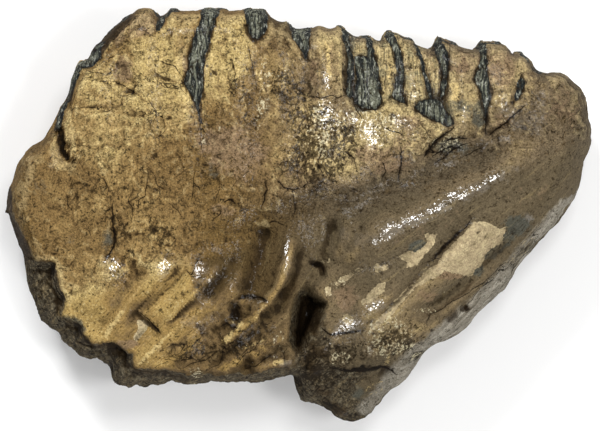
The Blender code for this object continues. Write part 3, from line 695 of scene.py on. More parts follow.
def zones(x, y, places):
    """The sum of soft oval zones.

    Each is its amount times e to the minus square of the distance from its middle over its half length.
    """
    total = np.zeros(x.shape)
    for middle_x, middle_y, half_x, half_y, amount in places:
        off_x, off_y = (x - middle_x) / half_x, (y - middle_y) / half_y
        total += amount * np.exp(-(off_x**2) - off_y**2)
    return total


# Where the varnish lies thick, fills the pores and shines: middle, half lengths along X and Y, how much.
GLOSS_ZONES = [
    (-69, -17.5, 3.4, 3, 1), (-70.5, -22, 1.9, 3.4, 0.8), (-50.5, -20, 4.1, 3.4, 1),
    (-36, -19.5, 2.6, 2.6, 1), (-38.5, -22.5, 1.5, 1.9, 0.6), (-30, -20, 1.5, 1.9, 0.8),
    (-33, -24, 1.5, 1.5, 0.6), (-4, -15.5, 1.7, 4.9, 1), (-4.5, -21, 1.1, 2.3, 0.6),
    (-56, -29, 1.9, 1.5, 0.5), (-48.5, -31, 2.3, 1.5, 0.7), (-41.5, -39, 3.8, 2.6, 1),
    (-35.5, -34, 3, 2.3, 0.5), (-57.5, -44.5, 2.6, 2.6, 0.9), (-53, -49.5, 3.8, 3, 0.5),
    (-24, -25.5, 3.8, 3.8, 0.5), (-12.5, -31.5, 1.1, 1.1, 0.8), (-5, -55, 3.4, 1.5, 1),
    (-14, -55.5, 2.3, 1.1, 0.5), (-34.5, -61, 1.9, 1.5, 0.5), (16.5, -7, 1.9, 3, 1),
    (25, -8.5, 4.5, 2.3, 0.9), (22, -11.5, 1.9, 2.3, 0.8), (33, -4, 2.6, 3, 1), (37, -5.5, 3, 1.5, 0.9),
    (44.5, -1.5, 4.5, 1.9, 1), (53, 3, 3.8, 1.9, 0.9), (60, 6.5, 3.8, 1.9, 0.8), (66, 10, 4.5, 2.3, 1),
    (73.5, 14, 4.5, 2.3, 0.8), (80, 17.5, 3.8, 1.9, 0.6), (27.5, -31.5, 3, 2.3, 0.9),
    (29, -34, 4.1, 1.9, 1), (17.5, -40.5, 3.8, 2.3, 0.8), (13.5, -43.5, 2.3, 1.9, 0.7),
    (10, -29, 3, 3, 0.4), (54, -29, 2.3, 2.3, 0.7), (85.5, -1, 1.9, 2.3, 0.8), (26.5, -50, 1.5, 3, 0.8),
    (17.5, -31, 4.5, 3.8, 0.3), (1.5, -10, 1.5, 3, 0.4), (26.5, 29, 4.1, 5.3, 0.8),
    (36, 34, 7.5, 3.8, 0.6), (20, 36.5, 3.8, 3, 0.6), (11.5, 40, 4.5, 2.3, 0.6), (-13, 50, 2.3, 9.8, 1),
    (-14, 38.5, 2.6, 4.5, 0.9), (-43.5, 58.5, 1.9, 6, 0.9), (11, 51, 1.5, 3.8, 1),
    (-29.5, 52, 1.1, 7.5, 0.5), (18, 58.5, 0.9, 7.5, 0.6), (25, 46, 3.8, 6.8, 0.15),
    (57, 46, 1.9, 4.5, 0.9), (50, 45.5, 2.3, 2.3, 0.9), (65.5, 48.5, 1.5, 3.8, 0.8),
    (53, 51, 1.1, 5.3, 0.6), (37, 48, 1.1, 6.8, 0.25), (42.5, 48, 2.3, 6.8, 0.35),
    (-35, 27.5, 1.5, 3.4, 0.8), (-29, 38.5, 1.5, 6, 0.6), (-29, 31, 1.9, 3.4, 0.5),
    (-16.5, 20.5, 2.3, 1.9, 0.5), (-20.5, 16, 3, 3.8, 0.4), (-41, 19, 3.8, 5.3, 0.4),
    (11.5, 35.5, 7.5, 5.3, 0.5), (4, 30, 5.3, 5.3, 0.4), (60.5, 36, 3.8, 3.8, 0.6),
    (57, 25, 5.3, 2.6, 0.5), (74.5, 40, 4.5, 2.6, 0.6), (-14, 34, 3, 4.5, 0.5), (-68, 54.5, 1.9, 3, 0.4),
    (-90, -28, 3.8, 7.5, 0.3), (38, -43, 7.5, 5.6, 0.3), (-82.5, -7.5, 7.5, 7.5, 0.25),
    (8, -59, 2.3, 1.9, 0.8), (17.5, -75, 1.9, 1.5, 0.8), (0.5, -67.5, 1.5, 1.5, 0.6),
    (41, -2.5, 3.8, 1.9, 0.7), (32.5, -8, 3, 1.9, 0.7), (49.5, 2.5, 3.8, 1.9, 0.6),
    (57.5, 7, 3.4, 1.5, 0.6), (66, 10.5, 3.4, 1.5, 0.6),
]  # fmt: skip
# How much of the skin's roughness the varnish fills there.
FILLED_PORES = 0.5

# Every edge and crack wanders by a millimetre or so, and more down the walls and on the far side, so that
# the two sides don't match. Down the walls, where one plan point stands for a whole height, a broad drift
# comes on top. Each grain here is given by its size in millimetres and a seed of its own.
FAR_WANDER = 7.0
WALL_WANDER = 5
WALL_DRIFT = 26
down_wall = ramp(60, 38, skin[:, 2]) * ramp(0.5, 0.15, normal[:, 2])
wander = np.where(upper_side, 1 + WALL_WANDER * down_wall, FAR_WANDER)
drift = WALL_DRIFT * (down_wall * upper_side)
shift_x = wander * (0.9 * grain(skin, 7, 1) + 0.5 * grain(skin, 2.4, 2))
shift_y = wander * (0.9 * grain(skin, 7, 3) + 0.5 * grain(skin, 2.4, 4))
stray_x = skin[:, 0] + shift_x + drift * grain(skin, WALL_DRIFT, 18)
stray_y = skin[:, 1] + shift_y + drift * grain(skin, WALL_DRIFT, 19)
stray_z = skin[:, 2] + 6 * grain(skin, 14, 14) + 2 * grain(skin, 4, 15)
facing_up = ramp(0.1, 0.5, np.abs(normal[:, 2]))
crownward = ramp(-14, 2, skin[:, 1] - 0.35 * skin[:, 0])

crumbs = 0.04 + 0.04 * crownward
for corners, height in CRUMBLY:
    crumbs += height * ramp(-3, 3, depth_inside(stray_x, stray_y, corners))
fine_grain = grain(skin, 2.3, 5)
coarse_grain = grain(skin, 8, 6)
pits = ramp(0.2, 0.5, grain(skin, 2.6, 7, 2)) * ramp(-0.1, 0.3, grain(skin, 14, 8))
crack_near, crack_side, crack_half = cracks(stray_x, stray_y, grain(skin, 3, 11))
crack_depth = 1.8 * crack_half * ramp(crack_half + 0.9, 0.3, crack_near)
crack_depth *= np.where(upper_side, 1, 0.4) * facing_up

# The cement comes away in thin leaves: its height is cut into levels, and each ends in a small ledge.
LEVELS = 2.6
level = LEVELS * grain(skin, 17, 12, 4, 0.55)
ledges = np.floor(level) + ramp(0.0, 0.16, level - np.floor(level))
on_crown = crownward * facing_up
ledge_height = on_crown * (0.6 + 0.2 * ramp(16, 34, skin[:, 1]))

# The roots broke off in splinters, which run up and down the walls, as the ripples run along the enamel.
root_wall = ramp(-0.3, -0.7, normal[:, 1]) * ramp(50, 10, skin[:, 0])
end_wall = 0.6 * ramp(0.4, 0.8, np.abs(normal[:, 0]))
splinters = 1.6 * grain(skin * (1, 1, 0.18), 9, 16) + 0.8 * grain(skin * (1, 1, 0.3), 3.5, 17)
ripples = grain(skin * (1, 0.14, 1), 1.9, 13, 2)

PIT_DEPTH = 0.55
RIPPLE_HEIGHT = 0.5
rough = crumbs * (fine_grain + 0.6 * np.abs(grain(skin, 4.5, 9))) + 0.35 * coarse_grain
rough += (0.03 + 0.07 * on_crown) * fine_grain
rough += ledge_height * (ledges - level) - PIT_DEPTH * pits - crack_depth
rough += (root_wall + end_wall) * splinters
rough += RIPPLE_HEIGHT * ramp(0, 1.5, bared_enamel(stray_x, stray_y)) * ripples
gloss = np.minimum(zones(stray_x, stray_y, GLOSS_ZONES), 1)
rough *= 1 - FILLED_PORES * gloss
skin_rough = skin + normal * rough[:, None]
skin_rough[:, 2] = np.maximum(skin_rough[:, 2], 0)

# Neighbouring slices are joined by quads, and the first and last are closed by fans about the two ends.
ring = np.arange(len(stations) * SLICE_POINTS).reshape(len(stations), SLICE_POINTS)
after = np.roll(ring, -1, axis=1)
quads = np.stack([ring[:-1], after[:-1], after[1:], ring[1:]], axis=-1).reshape(-1, 4)
blunt, narrow = len(skin) - 2, len(skin) - 1
blunt_fan = np.column_stack([np.full(SLICE_POINTS, blunt), after[0], ring[0]])
narrow_fan = np.column_stack([np.full(SLICE_POINTS, narrow), ring[-1], after[-1]])
faces = quads.tolist() + blunt_fan.tolist() + narrow_fan.tolist()

MM = 0.001
tooth_mesh = bpy.data.meshes.new("tooth_skin")
tooth_mesh.from_pydata((skin_rough * MM).tolist(), [], faces)
tooth_mesh.update()
tooth_mesh.shade_smooth()
tooth = bpy.data.objects.new("tooth_skin", tooth_mesh)
bpy.context.scene.collection.objects.link(tooth)

# ----------------------------------------------------------------------------------------------------
# The tooth's stains.
# Minerals in the ground have stained each tissue its own way: cement ochre to brown, enamel blue-black,
# bare dentine cream, and the broken root ends dark grey. Each stain is laid down as a measure on the skin.
# Painted shade and light are laid down with them: shade in the hollows, grooves, cleft and down-turned
# sides, highlights along the crests, and glints.
# ----------------------------------------------------------------------------------------------------

# Depth of the brown stain in the cement, 0 for ochre to 1 for dark brown: middle, half lengths along X and
# Y, depth.
BROWN_STAINS = [
    (-75, 51, 9, 13, 0.02), (-85, 40, 6, 8, 0.35), (-65.5, 54.5, 4, 6, 0.4), (-52, 58, 9, 11, -0.05),
    (-57, 71.5, 5, 6, 0.45), (-73, 62, 5, 6, 0.75), (-78.5, 32, 9, 9, 0.3), (-66, 36, 8, 8, 0.15),
    (-56, 33, 8, 8, 0.15), (-69, 21, 5, 5, -0.1), (-80.5, 12, 6, 5, 0.7), (-92, 15, 8, 8, 0.55),
    (-104, 8, 5, 12, 0.95), (-98, 22, 6, 6, 0.6), (-96, -2, 8, 10, 0.65), (-102, -14, 5, 12, 1),
    (-84, -2, 8, 8, 0.5), (-75, -9.5, 8, 8, 0.55), (-72, 6, 6, 8, 0.5), (-67.5, -1, 2.5, 9, 0.9),
    (-60, 8, 7, 8, 0.5), (-60, 20, 6, 7, 0.55), (-54, -2, 9, 7, 0.35), (-53, -6, 3.2, 2.2, 0.3),
    (-49, 19, 7, 8, 0.62), (-45, 6, 7, 8, 0.72), (-44, -6, 7, 6, 0.55), (-35, 16, 5, 8, 0.95),
    (-32, 6, 6, 6, 0.8), (-34, 0, 5, 5, 0.75), (-31.5, 27, 8, 9, 0.75), (-26, 58, 4.5, 14, -0.04),
    (-43, 66, 4.5, 9, 0.3), (-39.5, 60, 1.5, 8, 0.6), (-9, 67.5, 4, 5, 0.75), (-9, 54, 4, 9, 0.35),
    (-22, 24.5, 9, 10, 0.75), (-18, 10, 9, 9, 0.75), (-22, 43, 5, 6, 0.55), (-12, 35, 6, 8, 0.5),
    (-3.5, 17, 8, 9, 0.35), (0, 6, 9, 6, 0.8), (11, 62, 4, 11, 0.16), (6, 56, 1.3, 12, 0.8),
    (13, 57, 2, 9, 0.25), (33.5, 54.5, 3, 12, -0.35), (43, 54.5, 3, 9.5, 0), (53, 50, 2.5, 9, 0.15),
    (61.5, 57.5, 5, 5, 0.5), (60.5, 45, 4, 4, 0.1), (75.5, 51.5, 5.5, 6, 0.25), (83, 44, 5, 6, 0.3),
    (75.5, 60, 6, 4, 0.5), (8, 32, 9, 7, 0.15), (32.5, 32.5, 10, 5, -0.1), (45.5, 28, 6, 5, 0.05),
    (36, 17, 9, 5, 0.25), (17, 19, 8, 8, -0.05), (11.5, 7.5, 10, 5, 0.62), (58, 36, 5, 3, 0.15),
    (68, 32, 5, 3, 0.15), (78, 30, 6, 4, 0.67), (98, 42, 8, 10, 0.65), (103, 28, 6, 10, 0.92),
    (96, 14, 8, 8, 0.97), (-28, -8, 9, 5, 0.95), (-14, -7, 8, 5, 1), (0, -5, 8, 5, 1),
    (15.5, 1, 9, 5, 0.95), (36, 6, 9, 5, 1.17), (56, 14, 8, 5, 0.97), (72, 22, 8, 4, 1.07),
    (84, 32, 6, 5, 0.87), (-78, -24, 8, 8, 0.35), (-67.5, -28, 7, 6, 0.6), (-62, -22, 6, 6, 0.35),
    (-80.5, -35.5, 6, 6, -0.2), (-60, -32, 6, 6, 0.55), (-50, -18, 6, 5, 0.25), (-48.5, -30, 6, 6, 0.05),
    (-33.5, -20, 4, 5, 0.85), (-40, -36, 6, 4, 0.7), (-28, -28, 5, 6, 0.95), (-24, -16, 4, 5, 1),
    (-13, -20, 4, 8, 1.1), (-6, -28, 5, 7, 0.95), (-18, -40, 8, 8, 0.85), (-4, -14, 3, 8, 0.7),
    (4, -16, 4, 7, 1), (12, -10, 5, 6, 0.85), (17, -20, 7, 6, 0.8), (26, -12, 6, 5, 1.07),
    (38, -7.5, 8, 6, 1.22), (50, -4, 8, 6, 1.67), (62, 3, 7, 5, 1.52), (76, 8, 7, 6, 1.47),
    (88, 4, 7, 8, 1.02), (34, -22, 8, 7, 1.02), (46, -12, 6, 5, 1.17), (45, -32, 9, 6, 0.62),
    (58, -28, 7, 6, 0.77), (68, -20, 6, 6, 0.92), (80, -8, 7, 8, 1.07), (92, -4, 6, 8, 1.27),
    (34, -47, 10, 7, 0.37), (15, -38, 7, 6, 0.75), (12, -54, 8, 6, 1.2), (-50, -50, 8, 5, 0.45),
    (-38, -50, 8, 5, 0.5), (-25, -52, 10, 6, 0.85), (-8, -54, 7, 5, 1.1), (26, -62, 8, 6, 1.22),
    (34, -60, 5, 8, 1.32), (47.5, -5.5, 5.6, 2.3, 1.32), (58.5, 0, 5.6, 2.3, 1.32),
    (72, 5.5, 5.6, 2.6, 1.27), (83, 11, 4.9, 3, 1.17), (38, -10, 4.1, 3, 1.17), (6, -67.5, 6.8, 5.3, 1),
    (19, -72.5, 7.5, 3.8, 1.22), (-13, -59, 7.5, 3, 0.95), (-44.5, 44, 6, 7.5, 0.05),
    (-60, 43, 6.8, 6, -0.05), (-75, 28, 5.3, 6, 0.12), (-28, 75, 3.8, 3, 0.6), (0.5, -7.5, 5.3, 3.8, 1.1),
    (15.5, -43, 5.3, 3, 0.95), (17.5, -49, 6, 3, 1), (13.5, -77, 5.3, 3.8, 0.95),
    (17.5, 43, 4.5, 5.3, 0.6), (13.5, 49, 4.5, 3.8, 0.55), (21, 52.5, 2.3, 6, 0.2),
    (29.5, -34, 5.3, 3.8, 0.3), (28.5, -37.5, 3.8, 3, -0.05), (-7, -14, 3, 3, 1.15),
    (-16.5, -59, 9.8, 2.3, 1.25), (-46.5, -58.5, 5.3, 2.3, 0.9), (14.5, -75, 6, 4.5, 1.3),
    (75.5, 29, 7.5, 5.3, 0.15), (62.5, 32.5, 4.5, 4.5, 0.2), (-20.5, -43, 4.5, 4.5, 0.75),
    (-28, -49, 5.3, 3.8, 0.8), (-43, -49, 5.3, 3.4, 0.8), (-31.5, -55.5, 8.3, 3.4, 0.85),
    (-18.5, -51, 6, 4.5, 0.8), (-46.5, -41.5, 3.4, 2.6, 0.6), (53, 15, 5.3, 4.5, 0.55),
    (17.5, -77, 3.8, 4.5, 0.9), (13.5, -69.5, 3.4, 3.4, 0.9), (13.5, -45, 3.8, 3.8, 0.35),
    (28.5, -60, 4.5, 3.8, 0.4), (-63.5, 11.5, 8.3, 6, 0.25), (-48, 7.5, 5.3, 6, 0.35),
    (-76.5, 4, 5.3, 3.8, 0.3), (29.5, 60, 3.8, 5.3, 0.12), (-43.5, 45, 6, 5.3, 0.05),
    (-29, 46, 4.5, 4.5, 0.15), (64.5, 30, 6, 3.8, 0.2), (-32.5, -31, 3.8, 4.5, 0.92),
    (43.5, 1, 5.3, 3.8, 0.98), (-14, -58.5, 4.5, 3, 0.85), (13.5, -43, 3.8, 4.5, 0.25),
    (-35.5, 4, 6, 3.8, 0.72), (-105, 13, 3.8, 5.3, 0.7), (-22, 0, 3, 3, 0.8), (7, -62, 5.3, 5.3, 1),
    (44.5, 2.5, 4.5, 3.4, 1), (53, 16, 3.8, 3, 0.75), (23, 45, 3.8, 3, 0.1),
]  # fmt: skip

# Dark grey dentine and matrix in the breaks: closed shapes.
DARK_BREAKS = [
    [(-109.5, -18), (-97.5, -17.5), (-91, -19), (-89.5, -25), (-87.5, -32), (-89.5, -38), (-93.5, -43),
     (-112.5, -43)],
    [(-90, -38.5), (-82.5, -40.5), (-81, -44.5), (-83, -49.5), (-87.5, -52), (-97.5, -44)],
    [(-81.5, -47), (-73.5, -49.5), (-68, -48.5), (-62.5, -52), (-63, -57.5), (-56, -59), (-43, -61.5),
     (-31.5, -62.5), (-14.5, -60), (-1, -59), (-1, -69.5), (-90, -69.5), (-87.5, -49)],
    [(0.5, -26.5), (4, -28.5), (7.5, -32), (10, -37.5), (11, -43), (12.5, -49), (7, -54), (5, -59),
     (8.5, -65), (10, -69.5), (4, -73.5), (-1, -67.5), (-1, -49), (-2, -35.5)],
    [(0.5, -51.5), (6.5, -51.5), (11.5, -55.5), (19.5, -57), (27, -58.5), (23, -62), (20, -68),
     (26, -70.5), (25, -76.5), (19, -78.5), (11.5, -75), (0.5, -69), (-0.5, -60.5)],
]  # fmt: skip

# Dirt set hard along the rim and in the breaks, with painted shade where the rim turns away, then the smooth
# grey
# wall of the front root: closed shapes.
DIRT_AND_RIM_SHADE = [
    [(-110.5, 14.5), (-108, 14.5), (-106.5, 7), (-107, 1), (-111, 1)],
    [(-112.5, 1), (-108, 0.5), (-104, -6.5), (-100, -11.5), (-98, -17), (-111.5, -17.5)],
    [(-75.5, 66.5), (-70.5, 72.5), (-65.5, 75), (-61, 74), (-64.5, 69.5), (-69, 65), (-72, 60.5),
     (-75.5, 56), (-81, 55.5), (-78, 60.5)],
]  # fmt: skip
GREY_WALLS = [
    [(98.3, 4.7), (88.3, -6.3), (81.3, -14.3), (74.3, -22.8), (68.8, -28.8), (62.3, -34.8), (56.8, -38.3),
     (51.8, -42.8), (45.8, -47.8), (41.8, -50.3), (36.3, -56.3), (32.3, -61.8), (28.3, -66.8),
     (22.8, -73.3), (29, -92), (120.5, -20.5), (113, 5.5)],
]  # fmt: skip

# Black specks of manganese, then pale specks, partly grains of bare cement and partly painted glints:
# middle, half lengths along X and Y, how many.
SOOT_ZONES = [
    (-6, 44.5, 4, 5, 1.3), (2.5, 46, 3, 3.5, 1.2), (-22, 45, 5, 6, 0.9), (-23, 49.5, 3, 4, 0.7),
    (-7, 52.5, 6, 7, 0.6), (-5.5, 48, 7, 4, 0.8), (-20.5, 35.5, 3, 2.5, 0.7), (-2.5, 36.5, 4, 3, 0.8),
    (4, 32, 5, 6, 1.2), (10, 30, 10, 9, 0.95), (7, 37.5, 8, 6, 0.7), (14.5, 28, 5, 5, 0.9),
    (6, 13, 4, 6, 1.3), (0.5, 20.5, 9, 8, 0.8), (10, 19, 8, 9, 0.9), (-4, 19, 3, 3, 1.1),
    (11.5, 24.5, 4, 4, 0.9), (17.5, 24.5, 8, 8, 0.5), (-15.5, 35.5, 4, 4, 0.7), (-53, -5.5, 3.5, 3, 1.3),
    (-49.5, -9.5, 4, 4, 0.7), (-64.5, -5, 2.5, 3, 0.9), (-69, -4, 3, 8, 0.8), (-62.5, -15, 3, 3, 0.7),
    (-56, -12, 14, 9, 0.35), (-71, 5.5, 25, 14, 0.2), (-75, 32, 25, 20, 0.15), (-35.5, 15, 7, 9, 0.5),
    (-60, 24.5, 14, 10, 0.25), (-24, 4, 8, 5, 0.5), (-37, 0, 8, 5, 0.45), (68, 52.5, 4, 6, 0.5),
    (62, 58.5, 4, 5, 0.4), (60, 38.5, 5, 3, 0.5), (38, -47, 10, 7, 0.6), (17.5, -52.5, 9, 6, 0.7),
    (8, -59, 8, 6, 0.9), (-22, -39.5, 14, 9, 0.6), (-44.5, -51.5, 10, 5, 0.6), (-93.5, -32, 5, 12, 0.4),
    (-68, 67.5, 6, 8, 0.6), (-78.5, 52.5, 4, 6, 0.5), (-16.5, 0, 10, 4, 0.4), (26.5, 43, 5, 6, 0.4),
    (73.5, -12.5, 3.8, 3, 0.9), (67.5, -20, 1.9, 3, 0.8), (80, -6.5, 3.8, 3, 0.6), (63, -35, 2.3, 1.9, 1),
    (7, -61.5, 6.8, 5.3, 0.8), (37, -47, 9, 5.3, 0.9), (49.5, -38.5, 7.5, 3, 0.7), (19, -49, 6, 3.8, 0.7),
    (55, 28, 7.5, 3.8, 0.8), (-18.5, -49, 15, 5.3, 0.4), (7, -52.5, 5.3, 4.5, 0.9),
    (-76.5, 9.5, 11.3, 7.5, 0.45), (-60, 5.5, 8.3, 7.5, 0.5), (-84, 0, 6.8, 5.3, 0.35),
    (-67.5, 24.5, 9.8, 6, 0.25), (-49.5, 9.5, 5.3, 6.8, 0.4), (-22, -51, 16.5, 6.8, 0.4),
    (-37, -49, 7.5, 5.3, 0.5), (11, -72.5, 5.3, 3.4, 1.5), (17.5, -78.5, 3.4, 2.3, 1.4),
]  # fmt: skip
GRIT_AND_GLINT_ZONES = [
    (28.5, 32.5, 6, 6, 1), (36, 34, 9, 5, 0.8), (23, 34, 4, 5, 0.9), (15.5, 39.5, 6, 4, 1),
    (8, 38.5, 8, 5, 0.9), (13.5, 32.5, 8, 5, 0.9), (5, 28, 6, 5, 0.7), (0.5, 24.5, 10, 8, 0.6),
    (10, 19, 7, 7, 0.6), (-13, 45, 3, 9, 1.1), (-14, 35.5, 4, 6, 0.8), (-13, 54.5, 2.5, 9, 0.8),
    (-7, 52.5, 5, 6, 0.6), (-44.5, 56.5, 2.5, 6, 0.9), (11, 51, 1.6, 6, 0.9), (33.5, 49, 2, 8, 0.7),
    (-29, 38.5, 2, 6, 0.8), (-29.5, 31, 2.5, 4, 0.8), (-35, 27, 1.6, 3.5, 1), (-40, 35, 2.5, 2.5, 0.8),
    (-20.5, 16, 4, 4, 0.6), (-41.5, 20.5, 5, 7, 0.6), (-16.5, 28, 6, 5, 0.4), (-54, 31, 2.5, 3, 0.7),
    (-69, 47, 2, 4, 0.6), (-76.5, 46, 4, 3, 0.4), (42.5, 47, 3, 6, 0.7), (56, 46, 3, 4, 0.8),
    (60.5, 35, 6, 4, 0.8), (57, 25, 6, 3, 0.7), (75.5, 36.5, 5, 3, 0.5), (36, -47, 9, 6, 0.8),
    (26.5, -49, 3, 5, 0.9), (13.5, -54.5, 6, 4, 0.6), (-31.5, -41.5, 5, 4, 0.4), (-7, -47, 6, 6, 0.3),
    (-37, -60, 4, 2.5, 0.7), (-90, -7.5, 8, 14, 0.3), (-3.5, -52.5, 6, 3, 0.4), (47.5, 26.5, 4, 6, 0.5),
    (28.5, -45, 4.5, 5.3, 1.2), (38, -41.5, 6, 3.8, 1.1), (47.5, -35.5, 6.8, 2.3, 1), (55, -29, 3, 3, 1),
    (36, -49, 6.8, 4.5, 1), (15.5, -52.5, 3.8, 3, 0.9), (15.5, -25, 4.5, 3, 1), (11, -29, 2.3, 3.8, 0.8),
    (43.5, -20.5, 4.5, 2.3, 0.4), (56, 27.5, 6.8, 3.8, 0.9), (19, -38.5, 3.8, 2.3, 0.8),
    (-13, -45, 9.4, 4.5, 0.4), (11.5, 49, 2.3, 5.3, 0.7), (75, 41, 4.5, 2.3, 0.8),
    (25, 28, 4.5, 5.3, 0.9), (42.5, 46, 3, 5.3, 0.7), (-71, 5.5, 12.8, 9, 0.4), (-56, 11.5, 7.5, 9, 0.5),
    (-82.5, 17, 7.5, 5.3, 0.35), (-38.5, -58, 3, 2.3, 1), (27.5, -42.5, 5.3, 3, 0.6),
    (32.5, -37.5, 4.5, 2.3, 0.5), (17.5, -60, 8.3, 3.8, 0.4), (-24, -49, 18.8, 7.5, 0.5),
    (-11, -56.5, 7.5, 3, 0.5),
]  # fmt: skip
# Rosy brown plates of cement, then slate-grey ones: middle, half lengths along X and Y, how strong.
ROSE_ZONES = [
    (-57.5, 70.5, 5, 4.5, 1.2), (-65, 54, 3.5, 5, 1.2), (-68, 67.5, 5, 5, 0.8), (75, 54, 6, 7, 1.1),
    (60.5, 56, 5, 5, 0.9), (32.5, 19, 9, 5, 0.8), (98, 40, 10, 13, 0.5), (-24, 28, 14, 12, 0.4),
    (-31.5, 24.5, 8, 8, 0.4), (-18.5, 19, 12, 10, 0.4), (13.5, 17.5, 8, 4, 0.4), (11.5, 58.5, 2, 8, 0.6),
    (5.5, 52.5, 1.6, 6, 0.9), (55, 65, 4, 2, 1.2), (-42, 56, 1.5, 4, 1), (41.5, 35, 7, 2.5, 0.7),
    (25, 23.5, 5, 3, 0.7), (-28, 1, 8, 4, 0.5), (47.5, 57.5, 3, 7, 0.5), (40, 60, 2.5, 7, 0.4),
    (75.5, 35, 5, 4, 0.6), (45.5, -5.5, 10, 6, 0.25), (38, -9.5, 9, 6, 0.25), (57, 0, 12, 6, 0.25),
    (75.5, 7.5, 12, 7, 0.25), (90.5, 9.5, 10, 10, 0.25), (-56, -31, 3, 2, 0), (-24, -45, 8, 5, 0.4),
    (38, 28, 5, 6, 0.5), (55.5, -22.5, 7.5, 1.5, 1.1), (47.5, -30, 5.3, 3, 0.7),
    (17.5, -31, 5.3, 5.3, 0.9), (-63.5, -48, 8.3, 1.9, 0.8),
]  # fmt: skip
SLATE_ZONES = [
    (50.5, 38, 7, 4, 0.8), (60, 40.5, 5, 3, 0.7), (66, 35, 4, 4, 0.7), (25, 49, 3, 9, 0.9),
    (23.5, 43, 4, 5, 0.9), (20, 63, 1.5, 5, 0.8), (67.5, 38.5, 2, 5, 0.9), (58.5, 25, 7, 3, 0.7),
    (-95.5, -28, 5, 9, 1.1), (-86, -43, 5, 5, 1.1), (-67.5, 52.5, 3, 3, 0.4), (-34, 17, 4, 4, 0.35),
    (-31, 15.5, 3, 3, 0.35), (42.5, -13, 4, 3, 0.8), (66, -13, 5, 5, 0.35), (-71, -8.5, 3, 5, 0.7),
    (-84, -8.5, 4, 4, 0.4), (-95.5, 10, 5, 5, 0.4), (49.5, 45, 3, 3, 0.8), (90.5, -13, 5, 10, 0.5),
    (-69, -49, 8, 4, 0.3), (-22, -62, 20, 2.5, 0.9), (81, -4, 4.5, 4.1, 1.2), (76, -10, 3, 3, 1.2),
    (71, -14.5, 3, 2.3, 1.1), (66.5, -20.5, 1.9, 2.6, 1.1), (44.5, -11.5, 2.3, 1.9, 1.2),
    (61.5, -14, 3.8, 1.9, 0.35), (58.5, -38.5, 4.5, 2.3, 0.9), (19, -66.5, 9.4, 3, 0.8),
    (15.5, -72.5, 11.3, 3, 1.2), (-22, -61.5, 16.9, 1.5, 1.4), (-85.5, -41.5, 5.3, 3, 1.3),
    (52.5, 26, 5.3, 3, 0.5),
]  # fmt: skip

# Pale strokes, partly a painted highlight along the crests and partly cement rubbed pale and pale slivers,
# then dark strokes, partly painted shade in the grooves and the cleft and partly earth packed into creases:
# line, half width, how strong.
PALE_LINES = [
    ([(-29, -18.5), (-32.5, -23.5), (-36.5, -28), (-41.5, -32.5), (-48, -38.5), (-51.5, -43)], 0.5, 0.8),
    ([(-48.5, -46), (-53, -49.5), (-57.5, -54), (-62, -57)], 0.55, 0.95),
    ([(-11, -33), (-15, -37), (-19.5, -41.5), (-25, -46), (-30, -49.5)], 0.5, 0.8),
    ([(-70, -25), (-72.5, -28), (-74.5, -31)], 0.5, 0.6),
    ([(-63.5, -34), (-67.5, -38), (-70.5, -42.5), (-73.5, -47.5)], 1.8, 0.75),
    ([(0.5, -32), (3, -28.5)], 1, 0.6),
    ([(-22, -51), (-15.5, -47.5), (-8.5, -44)], 1.2, 0.6),
    ([(-11, -55.5), (-7, -54.5), (-2.5, -55)], 1.6, 0.75),
    ([(-46.5, -48), (-50, -51.5), (-52.5, -54)], 1.2, 0.55),
    ([(-16, 56), (-14, 49), (-13, 41.5)], 2.2, 0.6),
    ([(-43.5, 62), (-45, 56), (-46, 51.5)], 1.2, 0.8),
    ([(10, 66), (11, 58.5), (11.5, 47)], 1.3, 0.8),
    ([(32.5, 62), (34, 54.5), (33.5, 44)], 2.2, 0.6),
    ([(56.5, 51), (58.5, 45), (56.5, 42)], 2.4, 0.8),
    ([(61.5, -23.5), (55, -27.5), (53, -32.5), (46.5, -35), (40, -37.5), (35, -41.5)], 1, 0.5),
    ([(27.5, -41.5), (30.5, -44), (29, -48), (30.5, -51.5)], 2.6, 0.55),
    ([(95.5, 4), (87, -7), (77.5, -17.5), (68, -27.5)], 0.8, 0.5),
    ([(32.5, -49), (33.5, -54), (30.5, -55.5)], 2, 0.6),
    ([(19, -64.5), (25, -61.5), (32, -60)], 0.5, 0.62),
    ([(21.5, -67.5), (27.5, -63.5), (35, -61.5)], 0.5, 0.6),
    ([(23.5, -69.5), (29.5, -66), (33.5, -64.5)], 0.5, 0.55),
    ([(-30, -48), (-26.5, -45), (-23, -41.5), (-19, -38.5)], 1.3, 0.78),
    ([(-25, -40), (-23.5, -37)], 1.2, 0.7),
    ([(-44.5, -41.5), (-50.5, -46), (-57, -52.5), (-61.5, -57)], 0.9, 0.7),
    ([(-68.5, -32), (-72, -38.5), (-74.5, -44.5)], 1.6, 0.45),
    ([(-44, 65), (-44.5, 59), (-43.5, 53)], 1.2, 0.5),
    ([(-14, 60), (-12, 51.5), (-11.5, 42.5)], 2.2, 0.5),
    ([(-84, -32), (-80, -34), (-78, -38.5)], 3.5, 0.45),
    ([(19, -69), (26, -65.5), (33.5, -61.5)], 0.5, 0.55),
    ([(21.5, -71), (28, -67.5), (34.5, -64)], 0.45, 0.5),
    ([(14.5, -51.5), (20, -48.5), (25, -46)], 1.4, 0.4),
]  # fmt: skip
